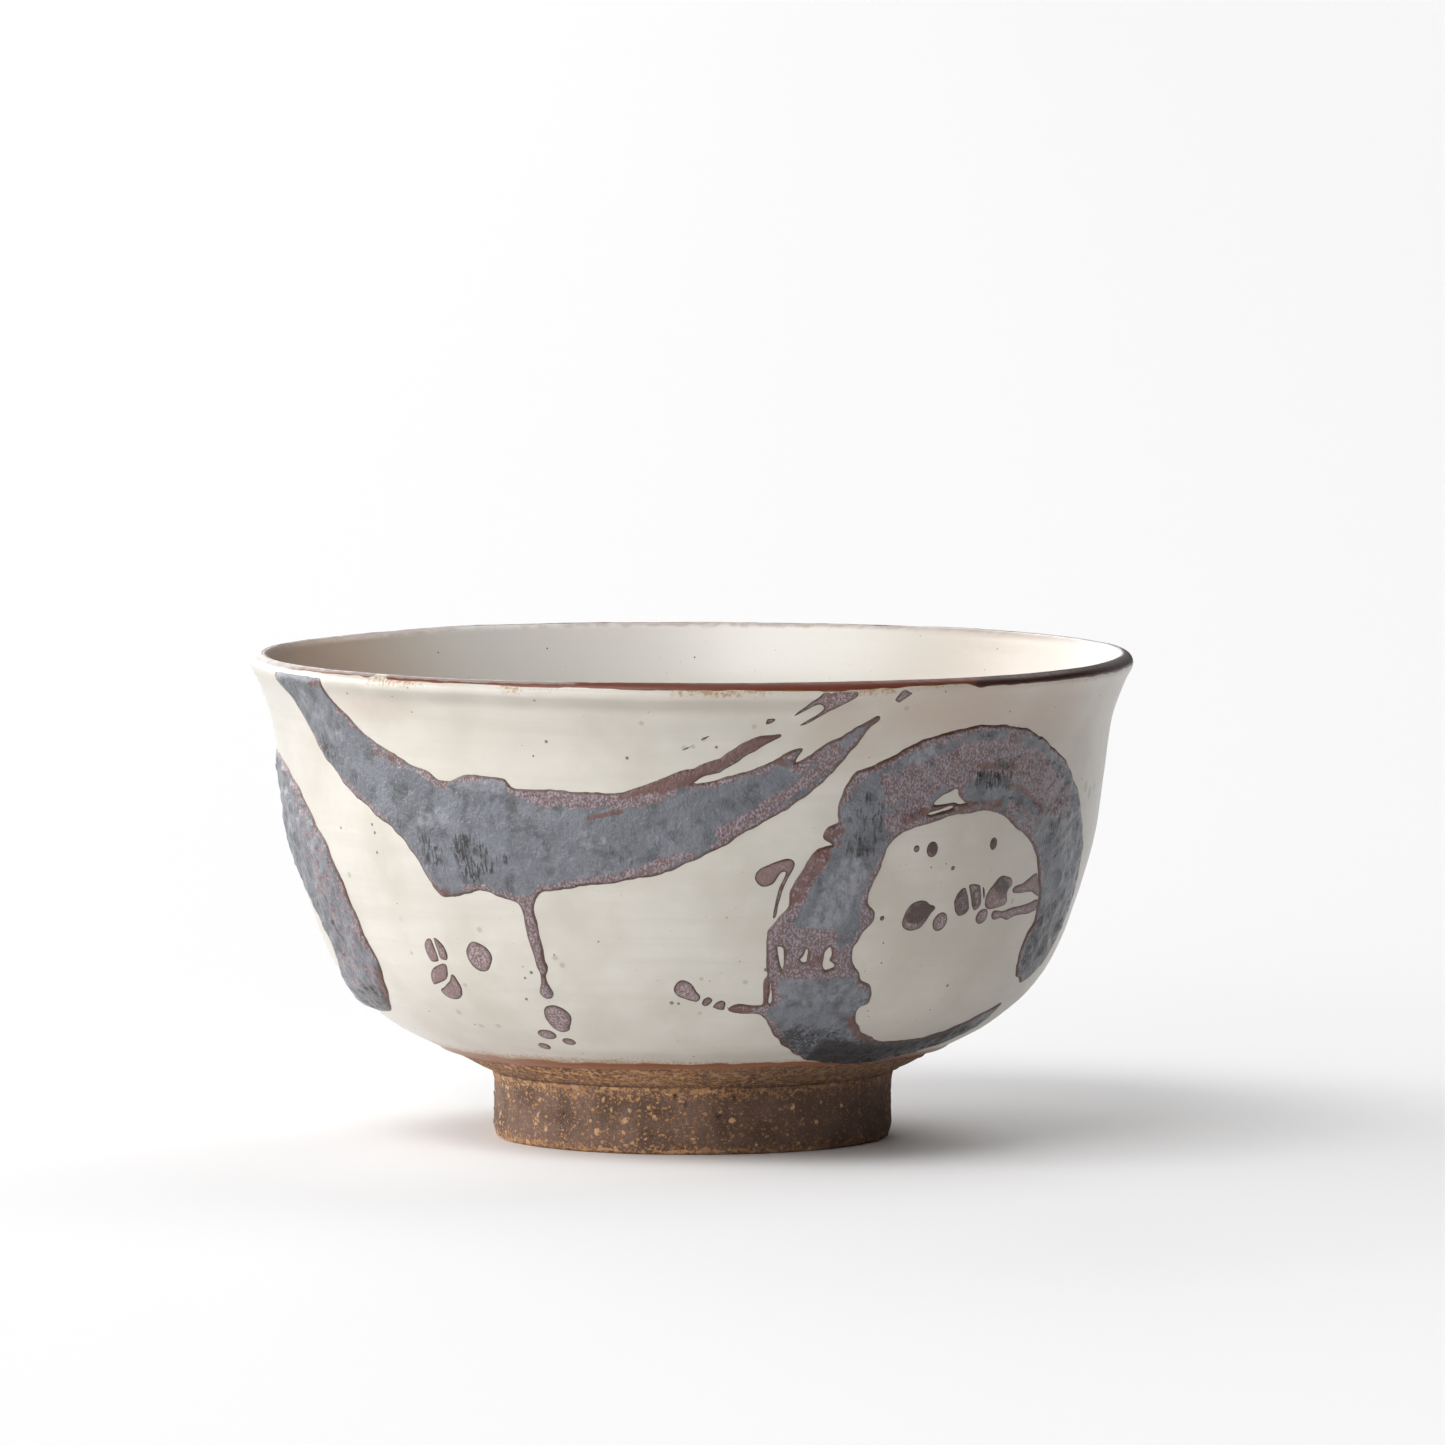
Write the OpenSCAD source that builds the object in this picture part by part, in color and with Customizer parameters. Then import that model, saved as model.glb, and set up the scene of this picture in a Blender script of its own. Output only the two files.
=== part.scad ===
// Matcha bowl: a wheel-thrown stoneware tea bowl with a flared lip and a turned foot ring.
// Cream glaze covers the wall inside and out, an iron band edges the lip, and iron brushwork
// stands slightly proud of the outer glaze.
//
// Frame: the origin is on the table under the middle of the foot and +Z is up. The bowl's axis
// is Z. An angle of 0 is the front of the bowl, on -Y, and angles grow towards +X.

/* [Bowl] */
// Widest diameter, across the flared lip
bowl_d = 120; // [110:1:130]
// Height from the table to the top of the lip
bowl_h = 66; // [62:1:72]
// Radius of the rounded lip
lip_r = 1.4; // [1.2:0.1:1.6]

/* [Foot] */
// Diameter of the foot ring where it meets the bowl
foot_d = 54.8; // [52:0.2:58]
// Inner diameter of the foot ring where it meets the bowl
recess_d = 40.6; // [36:0.2:41]

/* [Glaze] */
// Thickness of the cream glaze
glaze_t = 0.6; // [0.4:0.1:0.8]
// Thickness of the glaze where it thins out, at its lower edge
glaze_edge_t = 0.15; // [0.1:0.05:0.3]
// How far the iron brushwork stands out of the glaze
relief_t = 0.35; // [0.2:0.05:0.5]

/* [Hidden] */
$fn = 96;

CLAY = "#6b5244";
CREAM = "#e1ddd2";
IRON = "#5f6472";
RUST = "#6b3d35";
LIP_BROWN = "#5c2a1c";

// The lists below are drawn for this size of bowl, and stretch with the real one
drawn_d = 120;
drawn_h = 66;
wide = bowl_d / drawn_d;
tall = bowl_h / drawn_h;
function sized(p) = [p[0] * wide, p[1] * tall];

// The wall's outer face, as radius and height, from the glaze's lower edge to the lip
outer_knots = [
    [33, 11.95], [36.9, 13.72], [41, 16], [45.8, 20], [49.2, 25],
    [52, 32], [54.7, 41], [56, 50], [57.1, 57], [58.6, 61.5]
];
// The wall's inner face, from the lip down to the tea pool in the middle of the floor
inner_knots = [
    [55.4, 61.5], [53.5, 57], [52.2, 50], [50.7, 41], [47.8, 32], [44.6, 25], [40.7, 20],
    [35.5, 16.2], [28, 13.6], [20, 12.5], [15.5, 12.1], [13.5, 11.4], [7, 10.9], [0, 10.8]
];
// The bare underside, from the foot's recess out to the glaze
recess_knots = [[0, 5], [3, 5.6], [8, 6]];
underside_knots = [[31, 11]];
foot_top = 9.2;
recess_top = 6;
// The foot ring's two sides from the table up, as how far a point stands in from the side's
// widest radius, and its height. The outer side is a little waisted above a soft bulge.
foot_side = [[1.2, 0], [0.7, 0.3], [0.45, 1], [0.25, 2], [0.35, 3.4], [0.4, 6], [0.3, 8]];
recess_side = [[2, 0], [1.3, 0.7], [0.5, 3]];

// Steps between two knots, and round the lip
STEPS = 4;
LIP_STEPS = 12;
// The lip is an arc of this range, measured from straight out
LIP_FROM = -25;
LIP_TO = 150;
// The lip's steps where the iron band starts and ends
BAND_FROM = 2;
BAND_TO = 8;

// A smooth curve through four knots, and through a whole list of them
function bend(a, b, c, d, t) =
    0.5 * (2 * b + (c - a) * t + (2 * a - 5 * b + 4 * c - d) * t * t
        + (3 * b - a - 3 * c + d) * t * t * t);
function smooth(p) = [
    for (i = [0:len(p) - 2], k = [0:STEPS - 1])
        bend(p[max(i - 1, 0)], p[i], p[i + 1], p[min(i + 2, len(p) - 1)], k / STEPS),
    p[len(p) - 1]
];

lip_centre = [bowl_d / 2 - lip_r, bowl_h - lip_r];
lip_arc = [
    for (k = [0:LIP_STEPS])
        let (a = LIP_FROM + (LIP_TO - LIP_FROM) * k / LIP_STEPS)
            lip_centre + lip_r * [cos(a), sin(a)]
];
outer_face = smooth([for (p = outer_knots) sized(p), lip_arc[0]]);
inner_face = smooth([lip_arc[LIP_STEPS], for (p = inner_knots) sized(p)]);

// The glazed skin is one path: up the outside, over the lip and down to the middle of the floor
skin = [
    each outer_face,
    for (k = [1:LIP_STEPS]) lip_arc[k],
    for (k = [1:len(inner_face) - 1]) inner_face[k]
];
LAST = len(skin) - 1;
lip_start = len(outer_face) - 1;
band_start = lip_start + BAND_FROM;
band_end = lip_start + BAND_TO;

// Unit normal of the skin, away from the clay, at one of its points
function normal_at(i) =
    i == LAST ? [0, 1] :
    let (t = skin[i + 1] - skin[max(i - 1, 0)])
        [t[1], -t[0]] / norm(t);
// The glaze thins out over its first steps above the bare clay
THIN_STEPS = 4;
function coat_at(i) = glaze_edge_t + (glaze_t - glaze_edge_t) * min(1, i / THIN_STEPS);
// The outline of a glaze coat sunk into the skin, and of a layer that stands on it
function coat(from, to) = [
    for (i = [from:to]) skin[i],
    for (i = [to:-1:from]) skin[i] - normal_at(i) * coat_at(i)
];
function raised(from, to, height) = [
    for (i = [from:to]) skin[i] + normal_at(i) * height,
    for (i = [to:-1:from]) skin[i]
];
clay_skin = [for (i = [0:LAST]) skin[i] - normal_at(i) * coat_at(i)];

// Brush marks are cut from a thin layer on the outer glaze by radial cutters, which reach
// from well inside the wall to well outside it
REACH_IN = 24;
REACH_OUT = bowl_d / 2 + 8;
function on_ray(angle, r, z) = [r * sin(angle), -r * cos(angle), z];
function wall_radius(z) = lookup(z, [for (p = outer_face) [p[1], p[0]]]);

module relief_layer() {
    rotate_extrude() polygon(raised(0, band_start, relief_t));
}

// A brush stroke between two edges. A station is [angle, height] on the edge to the left of the
// stroke's direction, as seen from outside, and then on the edge to its right.
module ribbon(stations) {
    n = len(stations);
    corners = [
        for (s = stations) each [
            on_ray(s[0], REACH_IN, s[1] * tall),
            on_ray(s[2], REACH_IN, s[3] * tall),
            on_ray(s[2], REACH_OUT, s[3] * tall),
            on_ray(s[0], REACH_OUT, s[1] * tall)
        ]
    ];
    sides = [
        for (i = [0:n - 2], k = [0:3])
            let (a = 4 * i + k, b = 4 * i + (k + 1) % 4)
                each [[a, b, b + 4], [a, b + 4, a + 4]]
    ];
    first = [[0, 3, 2], [0, 2, 1]];
    e = 4 * n - 4;
    last = [[e, e + 1, e + 2], [e, e + 2, e + 3]];
    polyhedron(corners, concat(first, sides, last));
}

// A blot of iron with a closed outline of [angle, height] points
module blot(outline) {
    heights = [for (p = outline) p[1]];
    middle = (min([for (p = outline) p[0]]) + max([for (p = outline) p[0]])) / 2;
    r = wall_radius((min(heights) + max(heights)) / 2 * tall);
    rotate([90, 0, middle])
        translate([0, 0, REACH_IN])
            linear_extrude(REACH_OUT - REACH_IN)
                polygon([for (p = outline) [r * sin(p[0] - middle), p[1] * tall]]);
}

// A round or oval drop: angle, height, half width and half height
module drop(angle, height, half_w, half_h) {
    r = wall_radius(height * tall);
    rotate([90, 0, angle])
        translate([0, height * tall, REACH_IN])
            linear_extrude(REACH_OUT - REACH_IN)
                polygon([for (a = [0:18:342]) [half_w * cos(a), half_h * sin(a)]]);
}

module drops(list) {
    for (d = list) drop(d[0], d[1], d[2], d[3]);
}

// Front sweep: from the lip at the left, down across the front and up to the right
sweep_stations = [
    [-56, 66, -70, 66], [-55.7, 64, -69, 63.6], [-55.2, 62.4, -66, 61], [-54, 61.2, -64.5, 58.5],
    [-52, 59.7, -62.2, 55.4], [-50, 58, -60.5, 53.6], [-48, 56.8, -57, 51.6],
    [-46, 56, -56.6, 50.8], [-44, 55.2, -54, 49.2], [-42, 54.4, -50, 46.8], [-40, 53.7, -46, 45.1],
    [-38, 53.2, -43.6, 43], [-37, 52.3, -42.3, 41.6], [-35.8, 51.9, -41.3, 39.8],
    [-34.5, 52, -40, 37.6], [-33, 52.7, -38.8, 36.3], [-31.5, 53.1, -36.3, 36.4],
    [-30, 53.1, -34.5, 36.8], [-28.5, 53.1, -32, 37.5], [-26, 52.8, -28.6, 36.8],
    [-25.2, 51.6, -26, 36], [-23.4, 51.4, -23.4, 36.4], [-20, 51.6, -22.2, 37.6],
    [-14, 51.2, -16, 38.6], [-9.5, 51.2, -9.5, 39.5], [-6, 52.3, -4, 40.4], [-3, 53.4, -1, 41.7],
    [0, 52.3, 2, 43.1], [4, 53.1, 6, 45.4], [8, 54.3, 10, 47.5], [10, 55.1, 14, 49.9],
    [12.3, 56, 16.5, 51.5], [13.8, 55, 18.5, 53.2], [15, 55.6, 19.8, 54.5], [16.5, 56.5, 21.5, 56.4],
    [18, 57.7, 22.6, 57.8], [20, 58.5, 23.5, 59.2], [22, 59.8, 24.3, 60.1], [25.2, 61.4, 25.4, 61]
];
// The thin branch above the sweep's right half, and the run of iron below its left half
sweep_branch = [
    [-4.5, 52.8, -3, 51.5], [-2, 53.9, -0.4, 52.5], [0.5, 54.7, 1.3, 53.4], [4, 56.1, 4.3, 54.5],
    [6.2, 57.6, 6.7, 55.9], [8.9, 58.9, 9.4, 57.6], [12.1, 59.4, 12.2, 59]
];
sweep_run = [
    [-22.6, 38.5, -27, 38], [-22.9, 36.9, -26, 36.5], [-23.4, 35.2, -25.2, 35], [-23.1, 33, -25, 33],
    [-23, 31, -24.9, 31], [-22.8, 29.8, -24.6, 29.6], [-22.7, 28.6, -24.4, 28.4],
    [-22.2, 27.4, -24.4, 27.4], [-22.5, 26.7, -24.1, 26.7], [-23.1, 26, -24, 26],
    [-23, 25.1, -24, 25.1], [-22.6, 24.5, -24.4, 24.5], [-22.3, 23.7, -24.7, 23.7],
    [-22.6, 23, -24.4, 23], [-23.1, 22.7, -23.9, 22.7]
];
// A fleck that leaves the sweep's upper edge at the right
sweep_ear = [[15.2, 57.3], [13.2, 56.9], [11.2, 55.7], [11.6, 54.6], [13.6, 54.8], [14.2, 56]];

// Dry brush streaks between the sweep's end and the lip
dry_streaks = [
    [[21.7, 66], [22, 65.1], [21.9, 64.5], [21.4, 63.9], [20.6, 63.5], [18.9, 62.6], [17.4, 61.9],
        [15.9, 60.9], [14.9, 60.4], [14, 60.2], [15.1, 60.9], [16.2, 61.6], [17, 62.1],
        [17.5, 62.6], [16.9, 63.2], [16.4, 63.3], [14.8, 62.4], [13.7, 61.7], [13.1, 61.4],
        [13.9, 62.3], [14.9, 63], [15.4, 63.6], [16.1, 64], [17, 64.7], [17.4, 65], [18.3, 64.7],
        [19.8, 65], [19.9, 66]],
    [[26.9, 63.4], [27.2, 64], [27.7, 64.7], [28.6, 64.9], [28.8, 64.4], [29.5, 64.4],
        [28.5, 63.6], [28.1, 63.3], [27.7, 62.9]],
    [[9.6, 60.5], [10.2, 60.6], [11, 61.1], [10.8, 61.4], [9.8, 61.3]],
    [[1, 58.3], [1.9, 58.7], [2.5, 59.1], [1.5, 58.75]],
    [[-1.4, 57], [-0.5, 57.3], [0.3, 57.8], [-0.6, 57.5]]
];

// Drops below the run: one large blot, and ovals of angle, height, half width and half height
sweep_blot = [
    [-25.3, 20], [-25, 21.2], [-24.4, 21.7], [-23.4, 21.9], [-22.4, 21.9], [-21.6, 21.6],
    [-20.7, 21], [-20.4, 20.5], [-20.6, 19.8], [-21.3, 19], [-21.8, 18.3], [-22.6, 18],
    [-23.5, 17.9], [-24.4, 18.3], [-25, 19.1]
];
sweep_drop_list = [
    [-26.8, 17.5, 1.35, 0.75], [-23.2, 16.5, 0.95, 0.55], [-29.3, 15.6, 0.9, 0.5]
];
// Drops below the sweep's left end: a round one, and four pieces of drops that split as they dried
left_blots = [
    [[-36.4, 28.8], [-35.9, 29.6], [-35, 30.3], [-34.4, 30.4], [-33.3, 30.1], [-32.3, 29.6],
        [-31.7, 28.7], [-31.7, 28.1], [-32.3, 27.1], [-33, 26.4], [-34, 26.1], [-35, 26.3],
        [-35.8, 26.9], [-36.3, 27.8]],
    [[-44.6, 28.7], [-44.4, 29.5], [-43.8, 30.1], [-43, 30.4], [-42.6, 30.2], [-42.5, 29.4],
        [-42.35, 28.6], [-42.3, 27.2], [-43.4, 27], [-44.1, 27.1], [-44.4, 27.8]],
    [[-42.2, 30.5], [-41.8, 30.5], [-41.2, 30.2], [-40.4, 29.4], [-40.1, 28.6], [-40.2, 27.8],
        [-40.7, 27.4], [-41.9, 27.5], [-41.95, 28.6], [-42.1, 29.4]],
    [[-45.5, 23.7], [-45.5, 24.5], [-45, 25.4], [-44.3, 26.1], [-43, 26.6], [-42, 26.9],
        [-41.1, 27], [-40.9, 26.6], [-41.3, 25.6], [-41.7, 25], [-42.6, 24.5], [-44, 24.1]],
    [[-44.5, 22.9], [-44.2, 23.3], [-43.2, 23.5], [-42.4, 24], [-41.4, 24.5], [-40.9, 25.1],
        [-40.5, 25.6], [-40, 25.3], [-39.8, 24.7], [-39.4, 23.8], [-39.6, 23.2], [-40, 22.6],
        [-40.8, 22.1], [-42, 21.9], [-43.2, 22], [-44, 22.4]]
];

// Open ring at the front right: outer edge and inner edge, clockwise from its faded lower end
ring_stations = [
    [68, 17.3, 67, 19.9], [64, 15.3, 64, 18.9], [58, 13.8, 60, 17.7], [50, 12.9, 55, 16.5],
    [44, 12.6, 50, 15.8], [38, 12.6, 43, 15.8], [30, 13, 38, 16], [24, 13.7, 35, 16.9],
    [20, 14.8, 33, 17.2], [16.6, 16.3, 30.5, 18.4], [14.4, 17.8, 28.3, 20.3],
    [12.8, 19.5, 28, 21.3], [12, 20.4, 28.6, 21.8], [11.6, 22, 29.9, 21.8],
    [11.4, 23, 29.8, 23.2], [11, 25.2, 29.1, 24.8], [11.1, 25.9, 26.8, 25.4],
    [11.9, 26.2, 26.9, 26.4], [11.4, 27.1, 25.4, 27.4], [11.3, 29, 24.7, 28.4],
    [11, 32.4, 24.7, 29.8], [12.3, 33.8, 25.9, 32], [14.1, 35.8, 27.5, 33.8],
    [14, 37.4, 27.3, 35], [14.4, 38.8, 25.9, 35.9], [16, 41.2, 26, 37.6], [17.3, 43.4, 26.6, 39.4],
    [18.5, 43.8, 27.2, 40.6], [20.2, 44, 27.6, 42], [18.2, 45, 28, 43.5], [18.9, 46.4, 28.5, 44],
    [20.8, 46.9, 29.3, 44.7], [20.3, 48.6, 30.3, 45.4], [21, 51.2, 31.5, 45.8],
    [22.3, 53.5, 33, 46.1], [25.5, 54.6, 35, 46.5], [29, 56.1, 36.5, 46.9], [32, 57.5, 38, 47.2],
    [37, 58.7, 40, 47.5], [42, 59.3, 42.5, 47.6], [47, 59.1, 44.5, 47.6], [52, 58.2, 46.5, 47.4],
    [57, 56.3, 48.3, 46.8], [61.5, 54.1, 50, 45.8], [63.5, 53, 51.5, 44.9], [65.5, 51.3, 53.5, 43.9],
    [68.5, 49, 55.5, 42.8], [70.5, 46.8, 57, 41.5], [72.5, 44, 58.5, 39.8], [75, 40.3, 59.7, 37.7],
    [76.3, 36.8, 61.8, 35.2], [77.8, 34.5, 62.2, 33.2], [77.7, 32, 63, 31.2], [77, 29, 61.6, 29],
    [76, 26.8, 61.7, 27], [74.6, 25, 62.6, 25], [73, 24, 64.2, 23.5], [70, 22.8, 66.5, 23.2],
    [68.6, 22.5, 67.8, 22.5]
];
// The tail that runs out of the ring's lower left
ring_tail = [
    [5.6, 21.6], [6.2, 22.1], [7.2, 22.5], [9, 22.25], [11.4, 22.05], [13, 22], [13, 20.2],
    [12, 20.4], [11.3, 20.8], [10.5, 20.9], [9.2, 20.9], [7.5, 21.2], [6.2, 21.4]
];
// Bare spots that the brush skipped in the ring
ring_gaps = [
    [[35, 48.9], [35.7, 49.6], [36.5, 50.1], [37.8, 50.6], [39.4, 51], [39.3, 50.1], [39.8, 49.9],
        [40, 49.4], [41.4, 49], [41.3, 48.75], [39.8, 48.7], [38.9, 49.1], [37.3, 48.9],
        [36, 48.75]],
    [[34.3, 47.6], [34.4, 47.85], [35.6, 48.1], [37, 48.4], [38.5, 48.7], [38.8, 48.5], [38.1, 48.2],
        [36.5, 47.85], [35.2, 47.6]],
    [[12.7, 30.4], [13.4, 30.45], [13.75, 30], [13.95, 28.5], [14.05, 27.4], [13.9, 26.9],
        [13.5, 27.8], [13, 29.3]],
    [[17.35, 30], [17.55, 29.4], [17.6, 28.1], [16.9, 28.1], [16.5, 28.5], [17.05, 29.1]],
    [[20.9, 30.3], [21.3, 29.8], [21.35, 29], [21.1, 28.2], [22.3, 27.7], [22.3, 27.35], [21.6, 27.2],
        [20.6, 26.95], [20.25, 27.6], [20.25, 29.4]],
    [[12.1, 25.6], [12.4, 25.6], [12.6, 24], [12.75, 22.6], [12.45, 22.4], [12.3, 24]]
];

// Drops inside the ring: angle, height, half width, half height
ring_drop_list = [
    [32.9, 43.1, 0.5, 0.5], [35.6, 42.9, 0.95, 1.1], [47.2, 43, 0.75, 0.9], [39.8, 40.1, 0.4, 0.35],
    [28.8, 33.8, 0.35, 0.35], [39.4, 32.8, 1.3, 1.3], [48, 33, 1.2, 1.1]
];
ring_blots = [
    [[32.3, 33], [32.6, 34.6], [33.5, 35.7], [35, 36], [36.3, 35.8], [36.7, 35.2], [37.5, 35.3],
        [38.2, 34.7], [37.3, 34.1], [36.7, 33], [35.8, 32], [34, 31.8], [32.8, 32.2]],
    [[41.2, 35.4], [41.5, 36.4], [42.2, 37.2], [43, 37.4], [44.1, 35.7], [44.8, 34.2], [44.2, 33.5],
        [43, 33.3], [41.9, 34]],
    [[43.4, 37.6], [44.6, 37.7], [46, 37.4], [47.1, 35], [46.9, 34.3], [46, 33.8], [45.2, 34.4],
        [44.4, 36]],
    [[46.4, 37.3], [47, 36.9], [47.5, 35.9], [47.5, 35]],
    [[47.6, 35.9], [48.4, 36.9], [49, 37.4], [49.6, 38.2], [50.4, 38.5], [52, 38.2], [52.8, 38],
        [53.4, 37.3], [53.4, 36.9], [52.8, 36.7], [52.5, 36.2], [52.6, 35.6], [53.1, 35],
        [53.2, 34.5], [52.6, 34.2], [51, 34], [49, 33.8], [47.9, 34.4]],
    [[53.5, 36.3], [54.2, 36.8], [56, 36.9], [57, 37.4], [58.6, 38.2], [60, 38.4], [62.6, 35.4],
        [61.8, 34.8], [60.5, 35.2], [59, 35.7], [56, 35.7], [54, 35.8]],
    [[50, 33.7], [51, 33.7], [53, 33.4], [54, 33.7], [55, 33.8], [57, 33.9], [60, 34.2], [61.5, 34.6],
        [62.8, 34], [63, 32.6], [62, 32.9], [60, 32.5], [58, 32.6], [56.5, 32.5], [55.3, 32.3],
        [54.5, 31.9], [53.8, 32.2], [53, 32.6], [51, 32.2], [50.2, 32.7]]
];

// Flicks at the ring's left: beads of a broken tail, and a comma with a thin hook
tail_beads = [
    [[-2.9, 24.4], [-2.6, 25.2], [-1.9, 25.8], [-1.1, 25.9], [-0.3, 25.5], [0.3, 24.9], [0.8, 24.1],
        [1.4, 23.7], [1.35, 23.1], [0.9, 22.7], [0.1, 22.8], [-1, 23.2], [-2, 23.5], [-2.6, 23.9]],
    [[1.55, 22.6], [1.9, 23.2], [2.6, 23.45], [3.2, 23.2], [3.35, 22.9], [2.8, 22.3], [2.2, 22.1],
        [1.65, 22.3]],
    [[3.4, 22], [3.9, 22.6], [4.6, 22.95], [5.3, 22.8], [5.45, 22.4], [5.2, 21.6], [4.5, 21.6]]
];
comma = [
    [8.7, 40.2], [9, 39.2], [10, 38.5], [11.2, 38.7], [12, 39.5], [12.4, 40.6], [14.2, 40.9], [14.6, 41.8],
    [14.2, 42.3], [13.3, 42.5], [12, 42.1], [10.3, 41.5], [9.2, 41]
];
hook_line = [
    [14.3, 41, 13.8, 41.3], [13.5, 39.8, 13.1, 40], [12.8, 38, 12.3, 38], [12.4, 36, 11.9, 36],
    [12.3, 34.6, 11.8, 34.6], [12.1, 34.1, 11.6, 34]
];

// Open ring on the left side: outer edge and inner edge, clockwise from its far end
left_ring_stations = [
    [-119, 36, -108, 33], [-118, 42, -106, 36], [-113, 47, -102, 38.5], [-106, 50.5, -97, 39.5],
    [-98, 52.3, -92, 39], [-90, 53, -88, 37.8], [-82, 52.9, -84, 36.2], [-76, 51.4, -81, 34.8],
    [-71, 48.8, -79, 33.8], [-67, 45.2, -77.8, 32.4], [-63.5, 41.6, -76.8, 31], [-61, 36.6, -76, 29.6],
    [-59.8, 31.4, -75.4, 28.4], [-58, 26.5, -75.2, 27.2], [-59.3, 23, -75.6, 26], [-62.5, 20.3, -76.8, 24.9],
    [-66, 18.9, -78.8, 23.8], [-71, 18.3, -82, 22.7], [-78, 18.2, -86, 22], [-86, 18, -91, 21.8],
    [-94, 18.2, -96, 22.5], [-102, 19.5, -101.5, 24.3], [-109, 22, -106, 26.5], [-114, 25, -110, 28]
];

// Sweep across the back, with its own run and drops
back_stations = [
    [124, 66, 111.5, 66], [124.3, 64, 112, 63.8], [125.2, 61.5, 114.5, 60], [128, 58.5, 118, 55.5],
    [133, 56, 123.5, 51], [139, 54.2, 131, 46.5], [146, 52.4, 140, 42], [154, 51.5, 150, 39.8],
    [162, 51.8, 160, 39.5], [170, 52.4, 171, 41.2], [178, 54, 181, 44.2], [186, 56, 190, 48.5],
    [193, 58.2, 198, 53], [199, 60, 203, 57], [206, 62, 206.4, 61.2]
];
back_run = [
    [151, 42, 147, 42], [150.4, 38, 148, 38], [150, 34, 148.2, 34], [149.9, 30, 148.5, 30],
    [150.3, 28, 148.3, 28], [149.9, 26.8, 148.7, 26.8]
];
back_drop_list = [
    [148.5, 22.5, 1.7, 1.8], [145, 19.4, 1, 0.7], [163, 29.5, 2, 2.1], [168, 26, 1.3, 1.2],
    [190, 33, 2.4, 2.1], [196, 29.5, 1.1, 1]
];

module clay_body() {
    color(CLAY)
        rotate_extrude()
            polygon([
                for (p = recess_knots) sized(p),
                [recess_d / 2, recess_top * tall],
                [foot_d / 2, foot_top * tall],
                for (p = underside_knots) sized(p),
                each clay_skin
            ]);
}

module foot_ring() {
    foot_r = foot_d / 2;
    inner_r = recess_d / 2;
    color(CLAY)
        rotate_extrude()
            polygon([
                for (p = foot_side) [foot_r - p[0], p[1] * tall],
                [foot_r, foot_top * tall],
                [inner_r, recess_top * tall],
                for (i = [len(recess_side) - 1:-1:0])
                    [inner_r + recess_side[i][0], recess_side[i][1] * tall]
            ]);
}

module outer_glaze() {
    color(CREAM) rotate_extrude() polygon(coat(0, band_start));
}

module rim_iron_band() {
    color(LIP_BROWN) rotate_extrude() polygon(coat(band_start, band_end));
}

module inner_glaze() {
    color(CREAM) rotate_extrude() polygon(coat(band_end, LAST));
}

module sweep_stroke() {
    color(IRON)
        intersection() {
            relief_layer();
            union() {
                ribbon(sweep_stations);
                ribbon(sweep_branch);
                ribbon(sweep_run);
                blot(sweep_ear);
            }
        }
}

module sweep_dry_streaks() {
    color(RUST)
        intersection() {
            relief_layer();
            union() {
                for (outline = dry_streaks) blot(outline);
            }
        }
}

module sweep_drops() {
    color(RUST)
        intersection() {
            relief_layer();
            union() {
                blot(sweep_blot);
                drops(sweep_drop_list);
            }
        }
}

module left_drops() {
    color(RUST)
        intersection() {
            relief_layer();
            union() {
                for (outline = left_blots) blot(outline);
            }
        }
}

module ring_stroke() {
    color(IRON)
        intersection() {
            relief_layer();
            difference() {
                union() {
                    ribbon(ring_stations);
                    blot(ring_tail);
                }
                for (outline = ring_gaps) blot(outline);
            }
        }
}

// Two of the drops run into the ring, and stop at its edge
module ring_inner_drops() {
    color(RUST)
        intersection() {
            relief_layer();
            difference() {
                union() {
                    drops(ring_drop_list);
                    for (outline = ring_blots) blot(outline);
                }
                ribbon(ring_stations);
            }
        }
}

module ring_flicks() {
    color(RUST)
        intersection() {
            relief_layer();
            union() {
                for (outline = tail_beads) blot(outline);
                blot(comma);
                ribbon(hook_line);
            }
        }
}

module left_ring_stroke() {
    color(IRON)
        intersection() {
            relief_layer();
            ribbon(left_ring_stations);
        }
}

module back_sweep_stroke() {
    color(IRON)
        intersection() {
            relief_layer();
            union() {
                ribbon(back_stations);
                ribbon(back_run);
            }
        }
}

module back_drops() {
    color(RUST)
        intersection() {
            relief_layer();
            union() drops(back_drop_list);
        }
}

clay_body();
foot_ring();
outer_glaze();
inner_glaze();
rim_iron_band();
sweep_stroke();
sweep_dry_streaks();
sweep_drops();
left_drops();
ring_stroke();
ring_inner_drops();
ring_flicks();
left_ring_stroke();
back_sweep_stroke();
back_drops();
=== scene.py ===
"""Matcha bowl: its finished surfaces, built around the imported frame.

Lengths here are in millimetres unless a name ends in _m, and MM turns them into Blender's
metres. A place on the wall is an angle in degrees, 0 at the front (-Y) and growing towards +X,
and either a height or a path length s along the glazed skin. The skin's path starts at the
glaze's lower edge, climbs the outside, turns over the lip and ends in the middle of the floor.
"""
import itertools
import math

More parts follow.
